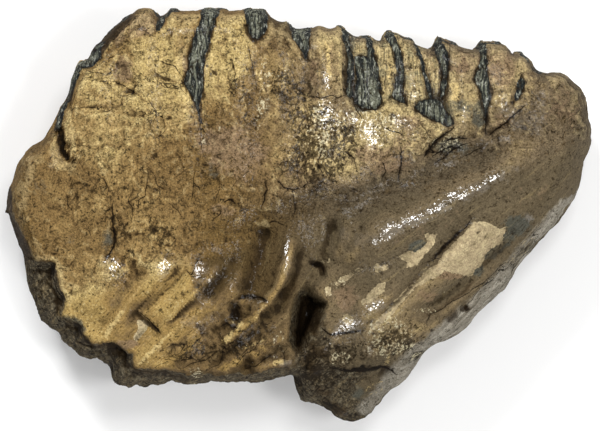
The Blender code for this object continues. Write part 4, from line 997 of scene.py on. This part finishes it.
DARK_LINES = [
    ([(-81.5, 56), (-84, 51), (-85.5, 46), (-87, 41.5), (-88.5, 36.5), (-89, 32)], 1.3, 1),
    ([(-89, 32), (-88.5, 27.5), (-87, 23)], 1.5, 1),
    ([(-56, 77), (-60, 75.5), (-64.5, 72.5), (-69, 66.5), (-72.5, 62), (-75.5, 57.5)], 1.2, 0.7),
    ([(-73.5, 57.5), (-70.5, 59), (-68, 58.5)], 1, 0.6),
    ([(-93.5, 32.5), (-96, 29), (-99, 25)], 0.8, 0.6),
    ([(-107, 21.5), (-109, 14), (-109.5, 7), (-108.5, 1)], 1.2, 0.8),
    ([(-108.5, 1), (-106.5, -6.5), (-104, -13), (-102, -17.5)], 2, 0.9),
    ([(-14, -8.5), (-15, -15.5), (-18, -23), (-22, -29.5)], 2.6, 0.75),
    ([(-26.5, -17.5), (-29.5, -24.5), (-35, -31), (-41, -36.5)], 2.2, 0.3),
    ([(0.5, -17.5), (-2.5, -24.5), (-5.5, -29), (-8.5, -32.5)], 1.6, 0.7),
    ([(7, -8.5), (5, -14), (2, -20), (-0.5, -25)], 2, 0.3),
    ([(5, -17.5), (8, -19), (9, -22)], 1.4, 1),
    ([(3.5, -30.5), (1.5, -39.5), (0, -48)], 3, 1.3),
    ([(7, -32), (5, -38), (3.5, -44)], 2, 0.9),
    ([(-0.5, -23), (-3.5, -30.5), (-6.5, -35.5)], 1.8, 0.7),
    ([(2.5, -46), (7, -51), (11.5, -49.5)], 3.5, 0.8),
    ([(-32.5, -40), (-35.5, -43), (-38, -46)], 1.8, 0.5),
    ([(-44.5, -49), (-48, -51.5), (-41.5, -51.5)], 1.4, 0.5),
    ([(-73, -49), (-67.5, -49.5), (-62.5, -52)], 1.4, 0.9),
    ([(58, 32.5), (53.5, 29.5), (49.5, 25), (46, 20.5)], 1.6, 0.9),
    ([(82.5, 50), (81, 44.5), (77.5, 40.5)], 1.4, 0.8),
    ([(69.5, 29.5), (74.5, 32.5), (80, 37)], 1.1, 0.7),
    ([(-37, 17), (-35.5, 11.5), (-36.5, 5.5)], 3.5, 0.35),
    ([(-31.5, 17.5), (-29.5, 14)], 3, 0.4),
    ([(-5.5, 46), (-7, 41.5)], 3, 0.7),
    ([(2.5, 47), (1, 44.5)], 2.6, 0.7),
    ([(7, 17.5), (7, 12.5), (5, 7.5)], 2.6, 0.6),
    ([(-56, -4), (-52.5, -6.5)], 2.4, 0.8),
    ([(-69.5, -4), (-68.5, -11.5)], 1.6, 0.55),
    ([(-65, 58.5), (-65.5, 54), (-63.5, 49.5)], 2.6, 0.5),
    ([(-62, 46), (-60, 44.5)], 1.6, 0.6),
    ([(-41.5, 60), (-41.5, 54)], 1, 0.6),
    ([(3.5, 57), (5.5, 50), (7, 45)], 1.6, 0.5),
    ([(50, 66.5), (54, 65), (57, 63)], 2, 0.7),
    ([(7, -55.5), (10, -55), (12, -57), (14.5, -56), (17.5, -57.5), (20.5, -57), (23, -58.5), (26, -57),
     (29, -58)], 0.7, 0.85),
    ([(67.5, -21.5), (63, -27), (58.5, -31), (54, -34), (48.5, -37), (44, -38.5)], 1.2, 0.75),
    ([(61.5, -34), (63, -35), (63, -36.5)], 1.4, 1.2),
    ([(60, -36), (57, -38), (55.5, -40)], 2.4, 0.8),
    ([(77.5, -6.5), (74, -13), (70.5, -16.5), (67.5, -20.5)], 2.4, 0.62),
    ([(64.5, -2.5), (60, -7.5), (55.5, -12.5), (51, -17.5), (47, -21.5), (41, -26.5), (36.5, -31)], 1.4,
     0.6),
    ([(0.5, -41.5), (0, -49), (1.5, -51.5)], 2.4, 0.8),
    ([(3.5, -32), (6.5, -39.5), (4, -46)], 3, 0.9),
    ([(-23.5, -33.5), (-23.5, -36.5), (-22, -39)], 2.4, 1.1),
    ([(-26, -38.5), (-29, -41.5), (-31, -44.5)], 1.6, 0.7),
    ([(-61.5, -35.5), (-58.5, -37.5), (-56, -40), (-53, -42.5), (-50.5, -44.5)], 0.7, 0.55),
    ([(-54.5, -40), (-53, -42), (-51, -44), (-53, -44.5), (-55.5, -42)], 0.9, 0.6),
    ([(-61.5, -39.5), (-63, -41.5)], 1.4, 0.5),
    ([(-88.5, -38.5), (-85.5, -39), (-82, -41), (-81.5, -43.5), (-78, -47), (-75, -49), (-71, -48),
     (-67, -49), (-62.5, -51.5)], 0.9, 1),
    ([(-62.5, -51.5), (-62, -54.5), (-61, -57.5), (-56, -59), (-51, -58.5), (-47, -60), (-43, -60.5),
     (-35.5, -61.5)], 0.9, 0.9),
    ([(-43.5, -21.5), (-48, -24), (-52.5, -28), (-57, -32), (-60, -35.5)], 1.5, 0.35),
    ([(-27.5, -20), (-31, -25), (-34.5, -29), (-38.5, -32.5)], 2.6, 0.5),
    ([(-20.5, -43), (-25, -48), (-29, -51.5)], 1.6, 0.6),
    ([(-48, -51.5), (-44.5, -51), (-42.5, -53.5), (-46, -55.5)], 1.2, 0.6),
    ([(-17.5, -54), (-18.5, -57), (-16, -59.5)], 2, 0.7),
    ([(8, -44.5), (13, -45), (17.5, -44), (21, -43)], 1, 0.6),
    ([(7, -51), (11.5, -48), (17.5, -47), (23, -45.5)], 1, 0.5),
    ([(-56, 75.5), (-63, 72), (-68, 67.5), (-72.5, 62), (-76, 58.5)], 0.8, 0.9),
    ([(-58.5, 76.5), (-65.5, 72.5), (-70.5, 68.5), (-75, 64)], 0.7, 0.8),
    ([(-54, 75), (-60, 69.5), (-64.5, 65), (-69, 60.5)], 0.6, 0.7),
    ([(-63, 68.5), (-66, 64.5), (-70, 60), (-73.5, 57)], 0.9, 0.6),
    ([(-35.5, -43), (-39, -46), (-43, -50), (-48, -53)], 1.4, 0.55),
    ([(-25, -51), (-29, -53), (-34, -56)], 1.4, 0.7),
    ([(-16.5, -51.5), (-20, -54.5), (-23, -58.5)], 1.5, 0.7),
    ([(-11, -49), (-14, -53), (-16.5, -55.5)], 1.2, 0.6),
    ([(-3.5, -51), (-5, -54.5), (-3, -58.5)], 1.4, 0.8),
    ([(-41, -51), (-44.5, -54.5), (-49.5, -57)], 1.3, 0.6),
    ([(-57.5, -17.5), (-61.5, -25), (-69.5, -35.5), (-76, -44.5)], 1.4, 0.45),
    ([(-40, -18.5), (-46, -25), (-52.5, -31), (-58.5, -36)], 0.7, 0.85),
    ([(-31, -21.5), (-36.5, -28), (-43, -35), (-50, -43.5)], 0.6, 0.8),
    ([(-49.5, -46), (-41, -40), (-34, -35), (-29, -29.5)], 0.8, 0.55),
    ([(-20, -43), (-26.5, -49.5), (-34, -55.5)], 1.2, 0.6),
    ([(1.5, -51.5), (4.5, -56), (9.5, -61.5)], 3.2, 0.85),
    ([(7, -69), (13, -72), (19, -75)], 2.2, 0.8),
    ([(5.5, -64), (8.5, -66), (13, -68)], 1.4, 0.7),
    ([(23, -70.5), (27.5, -69), (32, -67.5)], 0.6, 0.5),
]  # fmt: skip

# How brown the cement is where no stain is near, and how little that counts beside a stain.
PLAIN_BROWN = 0.5
PLAIN_WEIGHT = 0.02


def brown_stain(x, y):
    """The mean of the stains' depths, each weighted by how near its middle is, and of the plain cement's."""
    near = zones(x, y, [(*place, 1.0) for *place, _ in BROWN_STAINS])
    return (zones(x, y, BROWN_STAINS) + PLAIN_WEIGHT * PLAIN_BROWN) / (near + PLAIN_WEIGHT)


# Where the fibres bend back below the crown and how softly, the far point that those of the front root fan
# from, and the distance from it at which their widths are true.
BEND_Y = -20
BEND_SOFTNESS = 5.6
FAN_MIDDLE = (162, 72)
FAN_RADIUS = 150


def grain_way(x, y):
    """Place across and along the tissue's fibres, in millimetres.

    On the crown and the rear flutes, across is X pushed on by the depth below the crown's foot, as the
    flutes bend back. On the front root the fibres fan from a far point, so across is the angle about it.
    """
    sweep = x + BEND_SOFTNESS * np.log1p(np.exp((BEND_Y - y) / BEND_SOFTNESS))
    fan_x, fan_y = x - FAN_MIDDLE[0], y - FAN_MIDDLE[1]
    angle, radius = np.arctan2(fan_y, fan_x), np.hypot(fan_y, fan_x)
    front = ramp(8, 26, x + 0.2 * y) * ramp(34, 12, y - 0.45 * (x - 60))
    across = (1 - front) * sweep + front * FAN_RADIUS * angle
    along = (1 - front) * y + front * radius
    return across, along


def settled(points, rounds):
    """The grid's points, each averaged with its four neighbours a number of times; the ends stay."""
    smooth = points[:-2].reshape(len(stations), SLICE_POINTS, 3)
    for _ in range(rounds):
        padded = np.concatenate([smooth[:1], smooth, smooth[-1:]])
        smooth = (padded[:-2] + padded[2:] + np.roll(smooth, 1, 1) + np.roll(smooth, -1, 1)) / 4
    return np.vstack([smooth.reshape(-1, 3), points[-2:]])


def hollowness(points, rounds):
    """How far each point lies below the mean of the points about it, in millimetres, along its normal."""
    return np.sum((settled(points, rounds) - points) * normal, axis=1)


# Enamel shows in the bands of the cheek side, in a plain band over each plate along the far side's edge,
# and in the loops of the chewing wall. Each of these is a distance inside it, negative outside.
FAR_BAND_HALF = 2.2
FAR_BAND_FOOT = 46
enamel = bared_enamel(stray_x, stray_y)
loops = ENAMEL_HALF - wear_loops(skin[:, 0], skin[:, 2])
on_wall = ramp(0.35, 0.6, normal[:, 1]) * ramp(20, 50, skin[:, 1])
far_bands = FAR_BAND_HALF - np.min([np.abs(stray_x - middle) for middle, _ in PLATES], axis=0)
far_bands += np.minimum(0, (stray_y - FAR_BAND_FOOT - 6 * grain(skin, 13, 10)) / 4)
enamel = np.where(upper_side, enamel, far_bands)
enamel -= 8 * ramp(50, 38, stray_z) * upper_side
enamel = np.where(on_wall > 0.5, np.maximum(loops, np.where(skin[:, 2] > 60, enamel, -6)), enamel)

# The far side has the same bare patches, moved along so that they don't match. The roots' broken ends are
# dark all the way down under the rim.
FAR_PATCH_SHIFT = 9.0
patch_shift = np.where(upper_side, 0.0, FAR_PATCH_SHIFT)
bare = deepest_inside(stray_x + patch_shift, stray_y, BARE_PATCHES, 6)
dark = deepest_inside(stray_x, stray_y, DARK_BREAKS, 10)
under_rim = 12 * ramp(0.55, 0.1, normal[:, 2]) * ramp(-25, -45, skin[:, 1] - 0.35 * np.abs(skin[:, 0]))
dark = np.maximum(dark, under_rim - 5)
across, along = grain_way(stray_x, stray_y)

# How many rounds of averaging the varnish levels out as it dries.
VARNISH_LEVELLING = 24

# The measures, by the name that the material reads each by. Cracks end where the skin turns down.
measures = {
    "enamel": enamel,
    "bare": bare,
    "dark": dark,
    "crack side": crack_side + CRACK_SIDE_LIMIT * (1 - facing_up),
    "crack near": crack_near,
    "brown": brown_stain(stray_x, stray_y),
    "rose": np.minimum(zones(stray_x, stray_y, ROSE_ZONES), 1),
    "slate": np.minimum(zones(stray_x, stray_y, SLATE_ZONES), 1),
    "soot": np.minimum(zones(stray_x, stray_y, SOOT_ZONES), 1.2),
    # Pale specks: grains of bare cement, and painted glints.
    "grit and glint": np.minimum(zones(stray_x, stray_y, GRIT_AND_GLINT_ZONES), 1),
    "chipped": depth_inside(stray_x, stray_y, BREAKS["chipped crown"][0], 8),
    "ochre": ramp(45, -45, stray_x),
    # Painted shade: the brown deepens where the skin turns down from the top.
    "rim": ramp(0.85, 0.35, normal[:, 2]),
    # Painted shade and light: browner down the roots' grooves, paler along their flutes.
    "fold": np.clip(-relief(stray_x, stray_y) / 4, -1, 1),
    "root": ramp(6, -6, skin[:, 1] - 0.3 * skin[:, 0] + 6),
    # Painted shade and light: how far the skin lies below the mean about it, which darkens the hollows and
    # lights the crests.
    "hollow": np.clip(1.5 * hollowness(skin_rough, 4) + 0.12 * hollowness(skin_rough, 30), -1, 1),
    "pulp": pulp(stray_x, stray_z) / 4 * ramp(-0.5, -0.8, normal[:, 1]),
    # Dirt, with painted shade where the rim turns away.
    "dirt and rim shade": deepest_inside(stray_x, stray_y, DIRT_AND_RIM_SHADE, 6),
    "wall": deepest_inside(stray_x, stray_y, GREY_WALLS, 8) - 9 * ramp(46, 16, stray_z),
    # Pale strokes, partly a painted highlight along the crests.
    "pale": np.max([ridge(stray_x, stray_y, *line) for line in PALE_LINES], axis=0),
    # Dark strokes, partly painted shade in the grooves and the cleft.
    "deep": np.max([ridge(stray_x, stray_y, *line) for line in DARK_LINES], axis=0),
    "gloss": gloss,
    "varnish": ramp(0.35, 0.75, normal[:, 2]) * ramp(0.3, -0.1, hollowness(skin, 60)),
    "way": np.column_stack([across, along, skin[:, 2]]),
    "varnish face": outward(settled(skin_rough, VARNISH_LEVELLING)),
}
for name, values in measures.items():
    kind = "FLOAT_VECTOR" if values.ndim == 2 else "FLOAT"
    attribute = tooth_mesh.attributes.new(name, kind, "POINT")
    field = "vector" if values.ndim == 2 else "value"
    attribute.data.foreach_set(field, values.astype(np.float32).ravel())

# ----------------------------------------------------------------------------------------------------
# The tooth's material.
# Mineralised tooth: cement, enamel and dentine, all under one brushed coat of clear varnish, which has
# gathered on the crests and sunk into the pores. It gives broken glints over matt, earthy colours, which
# also hold painted shade, painted highlights and painted glints.
# ----------------------------------------------------------------------------------------------------


def linear(code):
    """A linear colour for an sRGB hex code: each channel is undone by the sRGB curve."""
    channels = [int(code[i : i + 2], 16) / 255 for i in (1, 3, 5)]
    return [*(c / 12.92 if c <= 0.04045 else ((c + 0.055) / 1.055) ** 2.4 for c in channels), 1]


def add(tree, kind, sockets, out=0, **settings):
    """Adds a node with its settings, sets or links its sockets by name or number, and gives its output."""
    node = tree.nodes.new(kind)
    for name, value in settings.items():
        setattr(node, name, value)
    for name, value in sockets.items():
        if isinstance(value, bpy.types.NodeSocket):
            tree.links.new(value, node.inputs[name])
        else:
            node.inputs[name].default_value = value
    return node.outputs[out]


fossil = bpy.data.materials.new("varnished_fossil")
fossil.use_nodes = True
tree = fossil.node_tree
shader = tree.nodes["Principled BSDF"]
place = add(tree, "ShaderNodeTexCoord", {}, "Object")
sockets = {}
for name, values in measures.items():
    out = "Vector" if values.ndim == 2 else "Fac"
    sockets[name] = add(tree, "ShaderNodeAttribute", {}, out, attribute_name=name)

# Grains of the surface, by name: what they are laid along, how many to a unit on each axis, and octaves.
# The unit is the metre in space and the millimetre along the fibres. The grit of cement and the fibres of
# dentine are really about a tenth of a millimetre wide: they are drawn several times coarser to show.
GRAINS = {
    "dust": (place, (1700, 1700, 1700), 2),
    "speck": (place, (1100, 1100, 1100), 3),
    "mottle": (place, (430, 430, 430), 4),
    "cloud": (place, (150, 150, 150), 4),
    "fibre": (sockets["way"], (0.62, 0.045, 0.12), 4),
    "streak": (sockets["way"], (1.5, 0.13, 0.3), 3),
    "smear": (place, (950, 420, 700), 3),
    "leaf": (place, (75, 75, 75), 6),
}
for name, (laid, counts, octaves) in GRAINS.items():
    scaled = add(tree, "ShaderNodeVectorMath", {0: laid, 1: counts}, operation="MULTIPLY")
    noise = {"Vector": scaled, "Scale": 1.0, "Detail": octaves, "Roughness": 0.6}
    sockets[name] = add(tree, "ShaderNodeTexNoise", noise)
# The walls of cells whose outlines the mottling bends: fine crazing, and the chunks of the crumbly breaks.
bend = add(tree, "ShaderNodeVectorMath", {0: sockets["mottle"], 1: (0.9, 0.9, 0.9)}, operation="MULTIPLY")
for name, count in (("crazing", 125), ("chunk", 260)):
    cells = add(tree, "ShaderNodeVectorMath", {0: place, 1: (count, count, count)}, operation="MULTIPLY")
    cells = add(tree, "ShaderNodeVectorMath", {0: cells, 1: bend})
    cells = {"Vector": cells, "Scale": 1.0}
    sockets[name] = add(tree, "ShaderNodeTexVoronoi", cells, feature="DISTANCE_TO_EDGE")
# The cement's leaves too thin for the skin itself: a noise cut into levels, and the share within each.
LEAVES = 11
leaf = add(tree, "ShaderNodeMath", {0: sockets["leaf"], 1: LEAVES}, operation="MULTIPLY")
sockets["leaf"] = add(tree, "ShaderNodeMath", {0: leaf}, operation="FRACT")
sockets["leaf level"] = add(tree, "ShaderNodeMath", {0: leaf}, operation="FLOOR")
sockets["crack width"] = add(tree, "ShaderNodeMath", {0: sockets["crack side"]}, operation="ABSOLUTE")

# Sums of the above: a start, then each part and its weight. They give every measured edge a ragged line.
SUMS = {
    # The brown stain, with painted shade added in the hollows, in the roots' grooves and where the skin
    # turns down, and painted light on the flutes.
    "stain_and_shade": (-0.7, ("brown", 1.0), ("cloud", 0.7), ("mottle", 0.35), ("speck", 0.35), ("hollow", 0.3),
                ("fold", 0.42), ("rim", 0.3)),
    "bared": (-1.1, ("bare", 1.0), ("mottle", 1.4), ("speck", 0.8)),
    "darkened": (-2.4, ("dark", 1.0), ("mottle", 3.0), ("speck", 1.8)),
    "enamelled": (-0.8, ("enamel", 1.0), ("mottle", 1.0), ("speck", 0.6)),
    "cracked": (-1.1, ("crack width", 1.0), ("speck", 1.2), ("mottle", 1.0)),
    "rosy": (-0.9, ("rose", 1.0), ("cloud", 0.8), ("mottle", 1.0)),
    "dirty and rim shaded": (-0.9, ("dirt and rim shade", 1.0), ("mottle", 1.0), ("speck", 0.8)),
    "walled": (-0.6, ("wall", 1.0), ("mottle", 2.0), ("cloud", 1.6)),
    "grained": (0.0, ("dust", 0.45), ("streak", 0.15), ("speck", 0.25), ("mottle", 0.15)),
    "paled": (-0.5, ("pale", 1.0), ("mottle", 0.6), ("speck", 0.4)),
    "deepened": (-0.5, ("deep", 1.0), ("mottle", 0.7), ("speck", 0.3)),
    "sparkling": (0.34, ("gloss", 0.1)),
    "varnished": (-1.3, ("gloss", 0.95), ("mottle", 1.2), ("speck", 1.6)),
    "slaty": (-0.9, ("slate", 1.0), ("cloud", 0.8), ("mottle", 1.0)),
    "sooty": (0.95, ("soot", 0.2), ("smear", -0.5), ("speck", -0.4), ("mottle", -0.35), ("cloud", -0.5)),
    "grit and glint specks": (-0.75, ("grit and glint", 0.22), ("smear", 0.4), ("speck", 0.5), ("mottle", 0.25), ("cloud", 0.4)),
    "edged": (0.0, ("cloud", 0.6), ("mottle", 0.4)),
    "pitted": (-0.5, ("speck", 0.6), ("mottle", 0.4)),
    # Height of the grain too fine for the skin itself.
    "height": (0.0, ("speck", 0.45), ("mottle", 0.55), ("cloud", 0.6), ("fibre", 0.2), ("streak", 0.15),
               ("leaf level", 0.3), ("dust", 0.15)),
}  # fmt: skip
for name, (total, *parts) in SUMS.items():
    for part, weight in parts:
        terms = {0: sockets[part], 1: weight, 2: total}
        total = add(tree, "ShaderNodeMath", terms, operation="MULTIPLY_ADD")
    sockets[name] = total

# The layers of colour, from the bottom up: a colour, how strong it is at most, and what limits it, each
# with its value where the layer is absent and where it is full.
LAYERS = [
    # Cement, from ochre to dark brown, greyer towards the narrow end and more golden towards the blunt one.
    # The brown also holds painted shade in the hollows, in the roots' grooves and where the skin turns down,
    # and painted light on the flutes.
    ("#87714a", 1.0, ("stain_and_shade", -0.1, 0.3)),
    ("#69563a", 1.0, ("stain_and_shade", 0.3, 0.6)),
    ("#4d3e26", 1.0, ("stain_and_shade", 0.6, 1.0)),
    ("#6f685a", 0.35, ("ochre", 0.8, 0.1)),
    ("#94763f", 0.5, ("root", 0.2, 1.0), ("ochre", 0.45, 0.9), ("stain_and_shade", 0.7, 0.2)),
    ("#5e533e", 0.45, ("root", 0.0, 1.0), ("stain_and_shade", 0.2, 0.7), ("ochre", 0.7, 0.2)),
    ("#826638", 0.35, ("ochre", 0.55, 1.0), ("stain_and_shade", 0.05, 0.45), ("root", 0.8, 0.2)),
    ("#7d6850", 0.8, ("rosy", 0.3, 0.7)),
    ("#4a4b43", 0.85, ("slaty", 0.3, 0.7)),
    # Its grain: pale grit, a painted highlight on the crown's crests, the roots' fibres, and the crown's
    # mottling and thin leaves.
    ("#b5a274", 0.6, ("speck", 0.55, 0.68), ("stain_and_shade", 0.5, 0.0)),
    ("#c9b687", 0.22, ("hollow", -0.08, -0.6), ("root", 1.0, 0.0)),
    ("#3d311f", 0.15, ("fibre", 0.5, 0.36)),
    ("#3d311f", 0.14, ("streak", 0.48, 0.36), ("root", 0.0, 1.0)),
    ("#9b885f", 0.22, ("fibre", 0.54, 0.7), ("root", 0.0, 1.0)),
    ("#c3ad78", 0.38, ("mottle", 0.55, 0.66), ("root", 0.9, 0.1), ("stain_and_shade", 0.65, 0.25)),
    ("#5a482d", 0.5, ("mottle", 0.46, 0.34), ("root", 0.9, 0.1)),
    ("#3b2f1e", 0.5, ("leaf", 0.86, 0.99), ("edged", 0.46, 0.56), ("root", 0.8, 0.1)),
    # Dentine laid bare, with pale and dull blotches.
    ("#a39272", 1.0, ("bared", -0.15, 0.2)),
    ("#b2a27e", 0.8, ("bared", -0.15, 0.2), ("mottle", 0.45, 0.62)),
    ("#7d7053", 0.6, ("bared", -0.15, 0.2), ("cloud", 0.46, 0.34)),
    # The dark breaks, blackest in the pulp hollows.
    ("#4a4234", 1.0, ("darkened", -1.0, 1.4)),
    ("#6d6552", 0.8, ("darkened", -1.0, 1.4), ("mottle", 0.5, 0.64)),
    ("#26211a", 0.8, ("darkened", -1.0, 1.4), ("cloud", 0.5, 0.36)),
    ("#75664a", 0.4, ("darkened", -1.0, 1.4), ("fibre", 0.5, 0.62)),
    ("#8f7d5c", 0.3, ("darkened", -1.0, 1.4), ("speck", 0.56, 0.66)),
    ("#120e09", 0.85, ("pulp", 0.25, 0.85), ("darkened", -1.0, 1.4)),
    ("#17120c", 0.8, ("darkened", -1.0, 1.4), ("smear", 0.48, 0.36)),
    # The chipped crown, streaked across the plates' bared sides.
    ("#4d4534", 0.6, ("streak", 0.5, 0.38), ("chipped", -1.0, 1.0)),
    ("#bfae86", 0.45, ("streak", 0.54, 0.66), ("chipped", -1.0, 1.0)),
    ("#6d6a55", 0.5, ("cloud", 0.5, 0.38), ("chipped", -1.0, 1.0)),
    # The grey wall of the front root.
    ("#837d70", 0.9, ("walled", -0.8, 1.6)),
    ("#9f998b", 0.7, ("walled", -0.8, 1.6), ("fibre", 0.5, 0.64)),
    ("#5f584b", 0.8, ("walled", -0.8, 1.6), ("fibre", 0.5, 0.38)),
    # Dirt with painted shade where the rim turns away, pale strokes (a painted highlight along the crests,
    # and cement rubbed pale), and dark strokes (painted shade in the grooves and the cleft, and earth in the
    # creases).
    ("#30271b", 0.95, ("dirty and rim shaded", -0.3, 0.3)),
    ("#57493a", 0.7, ("dirty and rim shaded", -0.3, 0.3), ("mottle", 0.52, 0.66)),
    ("#bba470", 0.9, ("paled", 0.45, 0.75)),
    ("#3a2d1c", 0.75, ("deep", 0.1, 0.9)),
    ("#1d160e", 0.9, ("deepened", 0.6, 1.0)),
    # Enamel, with greyer streaks away from its edges, and pale flecks that are painted glints.
    ("#262826", 1.0, ("enamelled", -0.3, 0.2)),
    ("#686a5c", 0.9, ("enamelled", 0.2, 1.2), ("streak", 0.47, 0.6)),
    ("#15181b", 0.9, ("enamelled", -0.3, 0.2), ("fibre", 0.5, 0.36)),
    ("#15181b", 0.4, ("enamelled", -0.3, 0.2), ("enamelled", 1.4, 0.3)),
    ("#68695a", 0.8, ("enamelled", 1.2, 2.4), ("streak", 0.42, 0.56)),
    # Painted glints on the enamel.
    ("#a3a496", 0.6, ("enamelled", -0.3, 0.2), ("smear", 0.55, 0.66)),
    # Over them all: painted shade in the hollows, dark pits, gaps between crumbs, specks, pale grit with
    # painted glints, crazing, and cracks.
    ("#241b10", 0.85, ("hollow", 0.08, 0.8)),
    ("#33291a", 0.75, ("pitted", -0.055, -0.12), ("bared", 0.3, -0.1)),
    ("#1b150d", 0.75, ("chunk", 0.13, 0.02), ("soot", 0.3, 0.8), ("cloud", 0.44, 0.54)),
    ("#120e09", 0.45, ("chunk", 0.12, 0.02), ("darkened", -1.0, 1.4), ("cloud", 0.4, 0.55)),
    ("#231c12", 0.76, ("sooty", 0.26, 0.36)),
    # Pale specks, partly painted glints.
    ("#c5bb99", 0.62, ("grit and glint specks", 0.27, 0.36)),
    ("#2a2013", 0.6, ("crazing", 0.04, 0.012), ("cloud", 0.46, 0.56), ("root", 0.8, 0.2)),
    ("#17110a", 0.95, ("cracked", 1.1, 0.7), ("crack near", 1.6, 0.9)),
]
colour = linear("#a8925f")
for tone, amount, *limits in LAYERS:
    for name, absent, full in limits:
        limit = {"Value": sockets[name], "From Min": absent, "From Max": full}
        share = add(tree, "ShaderNodeMapRange", limit, interpolation_type="SMOOTHSTEP")
        amount = add(tree, "ShaderNodeMath", {0: amount, 1: share}, operation="MULTIPLY")
    colour = add(tree, "ShaderNodeMix", {0: amount, 6: colour, 7: linear(tone)}, 2, data_type="RGBA")
# The finest grain makes the colour lighter and darker by up to this share, and less so on the roots.
GRAIN_CONTRAST = 0.62
ROOT_CONTRAST_LESS = 0.4
grained = {"Value": sockets["grained"], "From Min": 0.38, "From Max": 0.62}
grained |= {"To Min": -GRAIN_CONTRAST, "To Max": GRAIN_CONTRAST}
grained = add(tree, "ShaderNodeMapRange", grained)
grain_share = {0: sockets["root"], 1: -ROOT_CONTRAST_LESS, 2: 1.0}
grain_share = add(tree, "ShaderNodeMath", grain_share, operation="MULTIPLY_ADD")
grained = add(tree, "ShaderNodeMath", {0: grained, 1: grain_share, 2: 1.0}, operation="MULTIPLY_ADD")
colour = add(tree, "ShaderNodeVectorMath", {0: colour, 1: grained}, operation="MULTIPLY")
tree.links.new(colour, shader.inputs["Base Color"])
bump = add(tree, "ShaderNodeBump", {"Strength": 1.0, "Distance": 0.0012, "Height": sockets["height"]})

# The varnish has a smoother face of its own, with sags and brush marks about 1.5 mm wide, and it lies where
# it hasn't sunk in.
sags = add(tree, "ShaderNodeTexNoise", {"Vector": place, "Scale": 650, "Detail": 1, "Roughness": 0.5})
sags = add(tree, "ShaderNodeMath", {0: sags, 1: sockets["sparkling"]}, operation="MULTIPLY")
varnish = {"Strength": 1.0, "Distance": 0.0005, "Height": sags, "Normal": sockets["varnish face"]}
varnish = add(tree, "ShaderNodeBump", varnish)
lying = {"Value": sockets["varnished"], "From Min": 0.38, "From Max": 0.85}
lying = add(tree, "ShaderNodeMapRange", lying, interpolation_type="SMOOTHSTEP")
weight = add(tree, "ShaderNodeMath", {0: sockets["varnish"], 1: lying, 2: 0.05}, operation="MULTIPLY_ADD")
tree.links.new(weight, shader.inputs["Coat Weight"])
tree.links.new(bump, shader.inputs["Normal"])
tree.links.new(varnish, shader.inputs["Coat Normal"])
shader.inputs["Roughness"].default_value = 0.6
shader.inputs["Specular IOR Level"].default_value = 0.0
shader.inputs["Coat IOR"].default_value = 1.6
shader.inputs["Coat Roughness"].default_value = 0.12
tooth_mesh.materials.append(fossil)
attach(tooth, "root")
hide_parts("mammoth_tooth")

# ----------------------------------------------------------------------------------------------------
# The studio.
# A sheet of matt white paper under pale, even light and five square lamps, the strongest beyond the
# chewing edge. The camera looks straight down through a long lens, so that there is little perspective.
# ----------------------------------------------------------------------------------------------------

# The floor lies a hair below the tooth, so that the two don't share a plane.
FLOOR_HALF = 4
FLOOR_TOP = -0.0003
floor_corners = [(-1, -1), (1, -1), (1, 1), (-1, 1)]
floor_points = [(FLOOR_HALF * a, FLOOR_HALF * b, FLOOR_TOP) for a, b in floor_corners]
floor_mesh = bpy.data.meshes.new("floor")
floor_mesh.from_pydata(floor_points, [], [(0, 1, 2, 3)])
floor = bpy.data.objects.new("floor", floor_mesh)
bpy.context.scene.collection.objects.link(floor)

# Uncoated paper: bright, with no shine.
paper = bpy.data.materials.new("white_paper")
paper.use_nodes = True
paper_shader = paper.node_tree.nodes["Principled BSDF"]
paper_shader.inputs["Base Color"].default_value = (0.9, 0.9, 0.9, 1)
paper_shader.inputs["Roughness"].default_value = 0.8
floor_mesh.materials.append(paper)

world = bpy.data.worlds.new("studio")
world.use_nodes = True
surround = world.node_tree.nodes["Background"]
surround.inputs["Color"].default_value = (1, 1, 1, 1)
surround.inputs["Strength"].default_value = 0.32
bpy.context.scene.world = world
bpy.context.scene.view_settings.view_transform = "Standard"

# The lamps, all facing the tooth: place, width and watts.
LAMPS = {
    "key": ((-0.45, 1.05, 1.3), 0.42, 21),
    "overhead": ((0.2, 0.45, 1.9), 0.3, 9),
    "ridge_light": ((0.58, -0.1, 1.9), 0.28, 9),
    "front": ((0.5, -1.15, 1.5), 0.3, 8),
    "right_fill": ((1.0, -0.9, 1.2), 2.2, 11),
}
for name, (stand, width, watts) in LAMPS.items():
    lamp = bpy.data.lights.new(name, "AREA")
    lamp.shape = "SQUARE"
    lamp.size = width
    lamp.energy = watts
    light = bpy.data.objects.new(name, lamp)
    light.location = stand
    light.rotation_euler = (-light.location).to_track_quat("-Z", "Y").to_euler()
    bpy.context.scene.collection.objects.link(light)

camera = bpy.data.objects.new("camera", bpy.data.cameras.new("camera"))
camera.location = (0.0004, -0.0002, 2.045)
camera.data.lens = 319
camera.data.sensor_width = 36
camera.data.clip_end = 20
bpy.context.scene.collection.objects.link(camera)
bpy.context.scene.camera = camera
